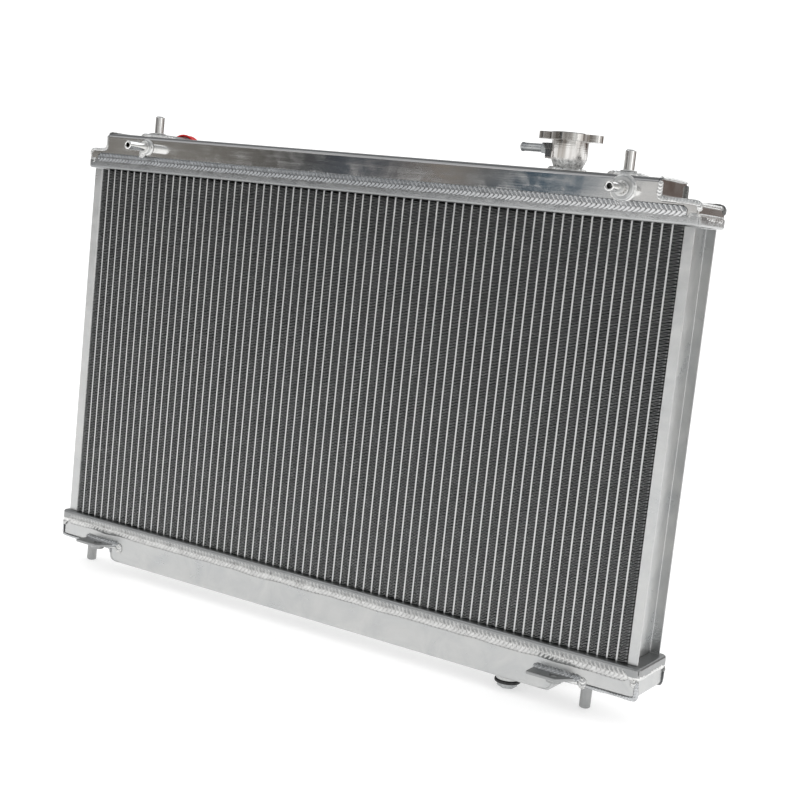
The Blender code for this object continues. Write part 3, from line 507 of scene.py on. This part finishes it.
def fin_path(left, right, bottom, top):
    """The serpentine line of one fin strip, in X and Z, from one header to the other."""
    count = int((top - bottom) / FIN_PERIOD)
    step = (top - bottom) / count
    flat = step * 0.13
    points = []
    for index in range(count):
        z = bottom + index * step
        points.append((left, z + flat))
        points.append((right, z + step / 2.0 - flat))
        points.append((right, z + step / 2.0 + flat))
        points.append((left, z + step - flat))
    return points


def fin_strip(bm, points):
    """A closed strip of sheet along the points, as deep as the core."""
    front, rear = CORE_FRONT + FIN_INSET, CORE_REAR - FIN_INSET
    rings = []
    for index, (x, z) in enumerate(points):
        before = Vector(points[max(index - 1, 0)])
        after = Vector(points[min(index + 1, len(points) - 1)])
        way = (after - before).normalized()
        across = Vector((-way.y, way.x)) * FIN_SHEET
        ring = []
        for side, y in ((1.0, front), (-1.0, front), (-1.0, rear), (1.0, rear)):
            ring.append(bm.verts.new((x + side * across.x, y, z + side * across.y)))
        rings.append(ring)
    for first, second in zip(rings, rings[1:]):
        for corner in range(4):
            following = (corner + 1) % 4
            bm.faces.new((first[corner], first[following], second[following], second[corner]))
    bm.faces.new(rings[0])
    bm.faces.new(tuple(reversed(rings[-1])))


def build_fins():
    """One strip in each gap between tubes, and one between each side plate and its nearest tube."""
    bm = bmesh.new()
    for column in range(TUBES + 1):
        left = (column - (TUBES + 1) / 2.0) * PITCH + TUBE_HALF + FIN_SHEET
        right = left + PITCH - 2.0 * TUBE_HALF - 2.0 * FIN_SHEET
        if column == 0:
            left -= TUBE_HALF
        if column == TUBES:
            right += TUBE_HALF
        shift = 0.0009 * noise.noise(Vector((column * 3.7, 0.0, 1.0)))
        fin_strip(bm, fin_path(left, right, CORE_BOTTOM + 0.0008 + shift, CORE_TOP - 0.0016 + shift))
    piece = add_piece("corrugated_fins", bm, FINS, smooth=False)
    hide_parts("fin_pack")


build_fins()


# ---------------------------------------------------------------- weld beads

ACROSS = 12                 # steps over a bead's width
STEPS_PER_RIPPLE = 8.0
RING = {"closed": True, "rounding": 0, "chevron": 0.5}

# Half width, height and ripple length of each bead.
SIZES = {
    "top_header": (0.0056, 0.0026, 0.0048),
    "bottom_header": (0.0062, 0.0031, 0.0046),
    "header_end": (0.0036, 0.0019, 0.0062),
    "corner": (0.0036, 0.0017, 0.0030),
    "top_tank_end_left": (0.0020, 0.0009, 0.0030),
    "top_tank_end_right": (0.0026, 0.0011, 0.0030),
    "bottom_tank_end_left": (0.0019, 0.0009, 0.0030),
    "bottom_tank_end_right": (0.0019, 0.0009, 0.0030),
    "end_top": (0.0028, 0.0012, 0.0045),
    "end_ledge": (0.0022, 0.0010, 0.0045),
    "upper_pad": (0.0028, 0.0020, 0.0046),
    "upper_pin": (0.0020, 0.0016, 0.0034),
    "standoff_pad": (0.0017, 0.0009, 0.0040),
    "standoff": (0.0016, 0.0011, 0.0032),
    "standoff_drip": (0.0050, 0.0028, 0.0040),
    "lower_pin": (0.0024, 0.0020, 0.0036),
    "filler_neck": (0.0034, 0.0028, 0.0052),
    "inlet_pipe": (0.0036, 0.0030, 0.0052),
    "outlet_pipe": (0.0034, 0.0030, 0.0052),
    "drain_boss": (0.0024, 0.0022, 0.0044),
    "bracket_top": (0.0046, 0.0028, 0.0040),
    "bracket_root": (0.0042, 0.0022, 0.0030),
    "bracket_under": (0.0026, 0.0018, 0.0044),
    "bush": (0.0012, 0.0010, 0.0034),
}


def seed_of(text):
    """A small repeatable number for a name, to vary the beads."""
    return sum((index + 3) * ord(letter) for index, letter in enumerate(text)) % 97 / 3.0


def smoothed(rows, closed, times):
    """Chaikin's corner cutting on rows of (point, normal)."""
    for _ in range(times):
        cut = []
        count = len(rows)
        pairs = count if closed else count - 1
        for index in range(pairs):
            (p, a), (q, b) = rows[index], rows[(index + 1) % count]
            cut.append((p.lerp(q, 0.25), a.lerp(b, 0.25).normalized()))
            cut.append((p.lerp(q, 0.75), a.lerp(b, 0.75).normalized()))
        if not closed:
            cut = [rows[0]] + cut + [rows[-1]]
        rows = cut
    return rows


def evenly(rows, closed, step):
    """The rows again at an even spacing, each with its distance along the path."""
    if closed:
        rows = rows + [rows[0]]
    lengths = [(b[0] - a[0]).length for a, b in zip(rows, rows[1:])]
    total = sum(lengths)
    count = max(int(round(total / step)), 4)
    found = []
    index, done = 0, 0.0
    for number in range(count if closed else count + 1):
        target = min(total * number / count, total - 1e-9)
        while done + lengths[index] < target and index < len(lengths) - 1:
            done += lengths[index]
            index += 1
        share = (target - done) / max(lengths[index], 1e-9)
        (p, a), (q, b) = rows[index], rows[index + 1]
        found.append((p.lerp(q, share), a.lerp(b, share).normalized(), target))
    return found, total


def weld_bead(name, path, size, closed=False, rounding=2, chevron=0.7, depth=0.30, wander=0.10,
              seed=0.0, material=BEAD):
    """A row of overlapping weld ripples laid along a path of (point, outward normal).

    chevron bends each ripple, depth is how deep its valleys are, and wander how uneven the bead is.
    """
    half_width, height, ripple = SIZES[size]
    rows = [(Vector(p), Vector(a).normalized()) for p, a in path]
    rows = smoothed(rows, closed, rounding)
    samples, total = evenly(rows, closed, ripple / STEPS_PER_RIPPLE)
    ripples = max(round(total / ripple), 1)
    bm = bmesh.new()
    shade = bm.verts.layers.float.new("ripple")
    rings = []
    count = len(samples)
    for index, (point, normal, distance) in enumerate(samples):
        if closed:
            way = samples[(index + 1) % count][0] - samples[index - 1][0]
        else:
            way = samples[min(index + 1, count - 1)][0] - samples[max(index - 1, 0)][0]
        side = way.normalized().cross(normal).normalized()
        rough = noise.noise(Vector((distance * 90.0, seed * 7.3, 0.5)))
        drift = noise.noise(Vector((distance * 45.0, seed * 3.1, 9.5)))
        taper = 1.0
        if not closed:
            from_end = min(distance, total - distance)
            taper = min(1.0, (0.25 + from_end / half_width) ** 0.5)
        ring = []
        for step in range(ACROSS + 1):
            u = -1.0 + 2.0 * step / ACROSS
            phase = (distance / total * ripples - chevron * (1.0 - abs(u) ** 1.3)) % 1.0
            lump = math.sin(math.pi * phase ** 0.75) ** 0.8
            wide = half_width * taper * (1.0 + wander * drift + 0.10 * depth * (lump - 0.5))
            rise = max(1.0 - abs(u) ** 2.3, 0.0) ** 0.65 * (1.0 - depth + depth * lump)
            tall = height * taper * rise * (1.0 + 2.0 * wander * rough)
            centre = point + side * (drift * wander * half_width)
            vert = bm.verts.new(centre + side * u * wide + normal * tall)
            # Painted light and shade for the weld look: dark in the ripple valleys and towards the bead's
            # edges, light on the crests; depth deepens it.
            vert[shade] = min(lump * (1.0 - abs(u) ** 6.0) + 1.0 - depth * 1.6, 1.0)
            ring.append(vert)
        under = -0.35 * height
        for edge in (0.9, -0.9):
            ring.append(bm.verts.new(point + side * half_width * edge * taper + normal * under))
        rings.append(ring)
    around = ACROSS + 3
    pairs = list(zip(rings, rings[1:]))
    if closed:
        pairs.append((rings[-1], rings[0]))
    for first, second in pairs:
        for corner in range(around):
            following = (corner + 1) % around
            bm.faces.new((first[corner], first[following], second[following], second[corner]))
    if not closed:
        bm.faces.new(rings[0])
        bm.faces.new(tuple(reversed(rings[-1])))
    add_piece(name, bm, material)


def ring_path(centre, normal, radius, lean, count=40):
    """A circle on a surface; lean tilts the bead's outward direction away from the centre."""
    turn = Vector(normal).to_track_quat("Z", "Y")
    path = []
    for index in range(count):
        angle = 2.0 * math.pi * index / count
        spoke = turn @ Vector((math.cos(angle), math.sin(angle), 0.0))
        path.append((Vector(centre) + spoke * radius, Vector(normal) + spoke * lean))
    return path


def side_way(side):
    return -1.0 if side == "left" else 1.0


def face_way(face):
    return -1.0 if face == "front" else 1.0


def face_path(z, face, reach):
    """Along the tank's front or rear face at one height, from the left to the right."""
    out = face_way(face)
    y = (TANK_FRONT if face == "front" else TANK_REAR) + out * 0.0004
    return [((x, y, z), (0, out, 0)) for x in (-reach, 0, reach)]


def end_path(z, way):
    """Across one end of the tank at one height, turning a little round both corners."""
    x = way * (TANK_END + 0.0006)
    front = TANK_FRONT - 0.0006
    rear = TANK_REAR + 0.0006
    turn = 0.010
    rows = [
        ((x - way * turn, front, z), (0, -1, 0)),
        ((x - way * 0.002, front + 0.0006, z), (way * 0.7, -0.7, 0)),
        ((x, front + 0.004, z), (way, 0, 0)),
        ((x, 0.0, z), (way, 0, 0)),
        ((x, rear - 0.004, z), (way, 0, 0)),
        ((x - way * 0.002, rear - 0.0006, z), (way * 0.7, 0.7, 0)),
        ((x - way * turn, rear, z), (0, 1, 0)),
    ]
    return rows if way > 0.0 else list(reversed(rows))


def header_welds():
    """The long beads between headers and tanks, and the short ones across both ends."""
    for face in ("front", "rear"):
        first = face == "front"
        weld_bead(f"weld_top_header_{face}", face_path(TOP_LIP + 0.0030, face, 0.3535), "top_header",
                  rounding=0, chevron=1.25, depth=0.58, wander=0.05, seed=1.0 if first else 3.0)
        weld_bead(f"weld_bottom_header_{face}", face_path(BOTTOM_LIP + 0.0002, face, 0.3560),
                  "bottom_header", rounding=0, chevron=1.2, depth=0.54, wander=0.10,
                  seed=2.0 if first else 4.0, material=PALE)
    for side in ("left", "right"):
        way = side_way(side)
        for header, z, seed in (("top", TOP_LIP - 0.0010, 5.0), ("bottom", BOTTOM_LIP - 0.0004, 9.0)):
            weld_bead(f"weld_{header}_header_{side}", end_path(z, way), "header_end", rounding=1,
                      chevron=0.6, depth=0.34, wander=0.26, seed=seed + way, material=BLOB)


def corner_welds():
    """Lumps of weld metal where the bottom header's beads meet at the tank's four corners."""
    for side in ("left", "right"):
        way = side_way(side)
        for face, y in (("front", TANK_FRONT), ("rear", TANK_REAR)):
            lean = (way * 0.4, face_way(face), 0.0)
            path = [((way * (TANK_END - inset), y, BOTTOM_LIP - drop), lean)
                    for inset, drop in ((0.0070, 0.0010), (0.0030, 0.0030), (0.0012, 0.0085))]
            weld_bead(f"weld_corner_{side}_{face}", path, "corner", rounding=1, chevron=0.8,
                      depth=0.60, wander=0.50, seed=seed_of(side + face), material=BLOB)


def seam_path(node, face, way, up, crown, ledge, foot):
    """Down a stepped end's upright wall, out along its ledge and down its outer edge.

    up is 1 for the top tank and -1 for the bottom tank, which is the same shape upside down.
    """
    y = TANK_FRONT if face == "front" else TANK_REAR
    out = face_way(face)
    step_x, end_x = STEP_X[node], way * TANK_END
    lean = (way * 0.55, out, 0.0)
    over = (0.0, out, up * 0.55)
    begin = crown - (0.003 if up > 0.0 else -0.0105)
    path = [
        ((step_x, y, begin), lean),
        ((step_x, y, (begin + ledge) / 2.0), lean),
        ((step_x, y, ledge + up * 0.001), (way * 0.3, out, up * 0.3)),
        ((step_x + way * 0.006, y, ledge), over),
        (((step_x + end_x) / 2.0, y, ledge), over),
        ((end_x - way * 0.003, y, ledge), over),
        ((end_x, y, ledge - up * 0.003), lean),
        ((end_x, y, foot), lean),
    ]
    if abs(end_x - step_x) < 0.030:
        path.pop(4)
    return path


def end_seams():
    """Beads along the stepped ends' front and rear edges, where each end strip meets the shell."""
    for tank, up, crown, foot in (("top_tank", 1.0, TANK_TOP, CORE_TOP + 0.0135),
                                  ("bottom_tank", -1.0, TANK_BOTTOM, CORE_BOTTOM - 0.0125)):
        ledge = LEDGE_Z[tank]
        for side in ("left", "right"):
            way = side_way(side)
            node = f"{tank}_end_{side}"
            for face in ("front", "rear"):
                path = seam_path(node, face, way, up, crown, ledge, foot)
                weld_bead(f"weld_{node}_{face}", path, node, rounding=2, chevron=0.6, depth=0.50,
                          wander=0.40, seed=seed_of(node + face), material=BLOB if up > 0.0 else GREY)
            if tank == "bottom_tank":
                continue
            ends = (TANK_FRONT + 0.003, TANK_REAR - 0.003)
            top = [((STEP_X[node], y, crown), (way * 0.6, 0, 1)) for y in ends]
            weld_bead(f"weld_{node}_top", top, "end_top", rounding=0, chevron=0.6, depth=0.3,
                      wander=0.2, seed=seed_of(node), material=BLOB)
            outer = [((way * (TANK_END - 0.0016), y, ledge - 0.0016), (way, 0, 1)) for y in ends]
            weld_bead(f"weld_{node}_ledge", outer, "end_ledge", rounding=0, chevron=0.6, depth=0.3,
                      wander=0.25, seed=seed_of(node + "l"), material=BLOB)


def mount_welds():
    """Rings round the upper pins, the stand-offs, their pads and the lower pins."""
    for side in ("left", "right"):
        pad = middle(f"upper_pin_pad_{side}")
        weld_bead(f"weld_upper_pad_{side}",
                  ring_path((pad.x, pad.y, TANK_TOP + 0.0006), (0, 0, 1), 0.0168, 0.5),
                  "upper_pad", wander=0.2, seed=seed_of(side), material=BLOB, **RING)
        top = high(f"upper_pin_pad_{side}").z
        weld_bead(f"weld_upper_pin_{side}",
                  ring_path((pad.x, pad.y, top + 0.0003), (0, 0, 1), 0.0060, -0.6, 28),
                  "upper_pin", wander=0.15, seed=seed_of(side + "pin"), material=BLOB, **RING)
        pad_low, pad_high = low(f"standoff_pad_{side}"), high(f"standoff_pad_{side}")
        stand = middle(f"standoff_pad_{side}")
        pad_radius = (pad_high.x - pad_low.x) / 2.0
        weld_bead(f"weld_standoff_pad_{side}",
                  ring_path((stand.x, TANK_FRONT - 0.0006, stand.z), (0, -1, 0), pad_radius + 0.0002,
                            0.5, 36),
                  "standoff_pad", wander=0.25, seed=seed_of(side + "stand"), material=BLOB, **RING)
        weld_bead(f"weld_standoff_{side}",
                  ring_path((stand.x, pad_low.y - 0.0002, stand.z), (0, -1, 0), 0.0058, -0.6, 26),
                  "standoff", wander=0.2, seed=seed_of(side + "tube"), material=BLOB, **RING)
        pin = middle(f"lower_pin_{side}")
        ledge = high(f"lower_pin_{side}").z
        weld_bead(f"weld_lower_pin_{side}",
                  ring_path((pin.x, pin.y, ledge), (0, 0, -1), 0.0068, -0.5, 28),
                  "lower_pin", wander=0.15, seed=seed_of(side + "low"), material=BLOB, **RING)


def fitting_welds():
    """Rings round the neck, the outlet pipe and the drain boss, and a run at the left stand-off."""
    neck_ring = ring_path((NECK_X, 0.0, low("filler_neck").z), (0, 0, 1), 0.0158, 0.35, 44)
    weld_bead("weld_filler_neck", neck_ring, "filler_neck", closed=True, rounding=0, chevron=0.6,
              depth=0.35, wander=0.16, seed=5.0, material=BLOB)
    stand = middle("standoff_pad_left")
    drip = [((stand.x - aside, TANK_FRONT - proud, stand.z - drop), (0, -1, 0))
            for aside, proud, drop in ((0.0022, 0.0014, 0.0030), (0.0052, 0.0008, 0.0078),
                                       (0.0076, 0.0002, 0.0120))]
    weld_bead("weld_standoff_drip_left", drip, "standoff_drip", rounding=1, chevron=0.6, depth=0.35,
              wander=0.35, seed=12.0, material=BLOB)
    outlet = middle("outlet_cap")
    outlet_ring = ring_path((outlet.x, TANK_REAR + 0.0004, outlet.z), (0, 1, 0), 0.0186, -0.5, 48)
    weld_bead("weld_outlet_pipe", outlet_ring, "outlet_pipe", closed=True, rounding=0, chevron=0.6,
              wander=0.14, seed=6.0)
    drain = middle("drain_boss")
    drain_ring = ring_path((drain.x, drain.y, TANK_BOTTOM), (0, 0, -1), 0.0128, -0.5, 36)
    weld_bead("weld_drain_boss", drain_ring, "drain_boss", wander=0.14, seed=8.0, material=BLOB, **RING)


def inlet_weld():
    """The bead that follows the inlet pipe's root over the tank's rear fold."""
    inlet = middle("inlet_cap")
    radius = 0.0182 + 0.0004
    front = low("inlet_pipe").y
    path = []
    for index in range(61):
        angle = math.radians(48.0 - index * (276.0 / 60.0))
        spoke = Vector((math.cos(angle), 0.0, math.sin(angle)))
        x = inlet.x + radius * spoke.x
        z = inlet.z + radius * spoke.z
        bend = (z - (TANK_TOP - TANK_FOLD)) / TANK_FOLD
        y = TANK_REAR
        if bend > 0.0:
            y += TANK_FOLD * (math.sqrt(max(1.0 - bend * bend, 0.0)) - 1.0)
        rising = Vector((0.0, 0.8, 0.3 if bend > 0 else 0.0))
        path.append((Vector((x, y, min(z, TANK_TOP))), spoke * 0.8 + rising))
    half = math.sqrt(radius ** 2 - (TANK_TOP - inlet.z) ** 2)
    start = [((inlet.x - 0.2 * half, front - 0.001, TANK_TOP), (0, -0.8, 1)),
             ((inlet.x + 0.7 * half, front - 0.001, TANK_TOP), (0, -0.8, 1)),
             ((inlet.x + half, front + 0.002, TANK_TOP), (0.8, -0.2, 1))]
    stop = [((inlet.x - half, front + 0.002, TANK_TOP), (-0.8, -0.2, 1)),
            ((inlet.x - 0.7 * half, front - 0.001, TANK_TOP), (0, -0.8, 1)),
            ((inlet.x - 0.2 * half, front - 0.001, TANK_TOP), (0, -0.8, 1))]
    weld_bead("weld_inlet_pipe", start + path + stop, "inlet_pipe", rounding=1, chevron=0.6,
              wander=0.16, seed=7.0, material=BLOB)


def bracket_welds():
    """Beads above and below each lower bracket, a lump at its inner end, and a ring round its bush."""
    for side in ("left", "right"):
        box_low, box_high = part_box(f"lower_bracket_{side}")
        y = TANK_FRONT - 0.0008
        top = [((x, y, box_high.z + 0.0008), (0, -0.9, 1))
               for x in (box_low.x - 0.001, box_high.x + 0.002)]
        weld_bead(f"weld_bracket_top_{side}", top, "bracket_top", rounding=0, chevron=0.9, depth=0.55,
                  wander=0.12, seed=seed_of(side + "top"), material=GREY)
        root = [((box_high.x + 0.0035, y, box_high.z + 0.0015), (0.3, -1, 0.3)),
                ((box_high.x + 0.0045, y, box_high.z - 0.0035), (0.3, -1, 0)),
                ((box_high.x + 0.0035, y, box_high.z - 0.0085), (0.3, -1, 0))]
        weld_bead(f"weld_bracket_root_{side}", root, "bracket_root", rounding=1, chevron=0.8,
                  depth=0.60, wander=0.45, seed=seed_of(side + "root"), material=BLOB)
        under = [((x, y, box_low.z - 0.0008), (0, -0.9, -1)) for x in (box_low.x, box_high.x)]
        weld_bead(f"weld_bracket_under_{side}", under, "bracket_under", rounding=0, chevron=0.6,
                  wander=0.14, seed=seed_of(side + "under"), material=BLOB)
        bush = middle(f"bracket_bush_{side}")
        bush_ring = ring_path((bush.x, bush.y, box_low.z), (0, 0, -1), 0.0078, -0.4, 28)
        weld_bead(f"weld_bush_{side}", bush_ring, "bush", wander=0.14, seed=seed_of(side + "bush"),
                  material=BLOB, **RING)


header_welds()
corner_welds()
end_seams()
mount_welds()
fitting_welds()
inlet_weld()
bracket_welds()


# ---------------------------------------------------------------- floor, light and camera

FLOOR_RADIUS = 30.0
LAMP_AIM = (0.0, 0.0, 0.3)

# Each lamp's name, place, width and height, and watts.
LAMPS = (
    ("key", (-1.6, -1.8, 2.2), (2.0, 2.0), 10.0),
    ("fill", (2.4, -0.6, 1.2), (1.4, 1.4), 5.0),
    ("rear", (0.4, 2.0, 2.0), (2.4, 1.2), 10.0),
)

# What the metal reflects: the room's tone round the horizon, by compass angle in degrees from the
# part's front (0) to its rear (180), with the right side positive.
HORIZON = (
    (-180, (0.62, 0.62, 0.62)), (-160, (0.44, 0.43, 0.42)), (-146, (0.20, 0.19, 0.18)),
    (-124, (0.66, 0.66, 0.66)), (-90, (0.40, 0.39, 0.38)), (-62, (0.22, 0.21, 0.20)),
    (-44, (0.205, 0.195, 0.18)), (-41, (0.185, 0.175, 0.16)), (-38, (0.10, 0.095, 0.088)),
    (-36, (0.050, 0.054, 0.060)), (-33.4, (0.062, 0.078, 0.10)), (-32.4, (0.12, 0.11, 0.11)),
    (-31.4, (0.33, 0.28, 0.23)), (-30.2, (0.20, 0.19, 0.18)), (-28.8, (0.055, 0.068, 0.085)),
    (-26.4, (0.050, 0.090, 0.125)), (-25.0, (0.14, 0.17, 0.20)), (-23.8, (0.66, 0.65, 0.64)),
    (-20, (0.50, 0.49, 0.48)), (-8, (0.34, 0.33, 0.32)), (14, (0.40, 0.39, 0.38)),
    (34, (0.74, 0.74, 0.73)), (62, (0.60, 0.60, 0.59)), (92, (0.36, 0.33, 0.31)),
    (112, (0.62, 0.60, 0.59)), (134, (0.30, 0.26, 0.24)), (143, (0.085, 0.060, 0.050)),
    (158, (0.10, 0.072, 0.060)), (166, (0.45, 0.43, 0.42)), (180, (0.62, 0.62, 0.62)),
)
WOBBLE = 0.012              # radians, the unevenness of the horizon's bands
CEILING = (0.40, 0.41, 0.42)
WHITE_LIGHT = 1.26

CAMERA_PLACE = (0.8032, -1.2002, 0.4450)
CAMERA_AZIMUTH, CAMERA_FALL, CAMERA_ROLL = 31.711, 7.532, 6.062
FOCAL_LENGTH = 62.744


def build_floor():
    bm = bmesh.new()
    bmesh.ops.create_circle(bm, cap_ends=True, segments=96, radius=FLOOR_RADIUS)
    mesh = bpy.data.meshes.new("studio_floor")
    bm.to_mesh(mesh)
    bm.free()
    mesh.materials.append(floor_paint())
    floor = bpy.data.objects.new("studio_floor", mesh)
    bpy.context.scene.collection.objects.link(floor)


def area_light(name, place, size, power):
    light = bpy.data.lights.new(name, "AREA")
    light.shape = "RECTANGLE"
    light.size, light.size_y = size
    light.energy = power
    lamp = bpy.data.objects.new(name, light)
    bpy.context.scene.collection.objects.link(lamp)
    lamp.location = place
    lamp.rotation_mode = "QUATERNION"
    lamp.rotation_quaternion = (Vector(LAMP_AIM) - Vector(place)).to_track_quat("-Z", "Y")


def studio_world():
    """White to the eye; for reflections, a room with soft light and dark zones round the horizon."""
    world = bpy.data.worlds.new("studio")
    bpy.context.scene.world = world
    world.use_nodes = True
    world.node_tree.nodes.clear()
    n = Tree(world.node_tree)
    n.place = n.add("ShaderNodeTexCoord").outputs["Generated"]
    towards_front = n.math("MULTIPLY", n.axis(n.place, "Y"), -1.0)
    compass = n.math("ARCTAN2", n.axis(n.place, "X"), towards_front)
    shake = n.span(n.noise(5.0, 3.0, 0.5), 0.0, 1.0, -WOBBLE, WOBBLE)
    turn = n.span(n.math("ADD", compass, shake), -math.pi, math.pi, 0.0, 1.0)
    ring = n.ramp(turn, *(((degrees + 180.0) / 360.0, tone) for degrees, tone in HORIZON))
    overhead = n.span(n.axis(n.place, "Z"), 0.12, 0.55, 0.0, 1.0)
    reflected = n.add("ShaderNodeBackground")
    n.link(n.mix(overhead, ring, CEILING), reflected.inputs["Color"])
    plain = n.add("ShaderNodeBackground")
    plain.inputs["Color"].default_value = (1.0, 1.0, 1.0, 1.0)
    plain.inputs["Strength"].default_value = WHITE_LIGHT
    glossy = n.add("ShaderNodeLightPath").outputs["Is Glossy Ray"]
    choice = n.add("ShaderNodeMixShader")
    for socket, source in zip(choice.inputs, (glossy, plain.outputs[0], reflected.outputs[0])):
        n.link(source, socket)
    n.link(choice.outputs[0], n.add("ShaderNodeOutputWorld").inputs["Surface"])


def build_camera():
    azimuth, fall = math.radians(CAMERA_AZIMUTH), math.radians(CAMERA_FALL)
    forward = Vector((
        -math.sin(azimuth) * math.cos(fall),
        math.cos(azimuth) * math.cos(fall),
        -math.sin(fall),
    ))
    roll = Quaternion((0.0, 0.0, 1.0), math.radians(CAMERA_ROLL))
    data = bpy.data.cameras.new("camera")
    data.lens = FOCAL_LENGTH
    data.sensor_width = 36.0
    camera = bpy.data.objects.new("camera", data)
    bpy.context.scene.collection.objects.link(camera)
    camera.rotation_mode = "QUATERNION"
    camera.rotation_quaternion = forward.to_track_quat("-Z", "Y") @ roll
    camera.location = CAMERA_PLACE
    bpy.context.scene.camera = camera


build_floor()
studio_world()
for lamp in LAMPS:
    area_light(*lamp)
build_camera()
bpy.context.scene.view_settings.view_transform = "Standard"
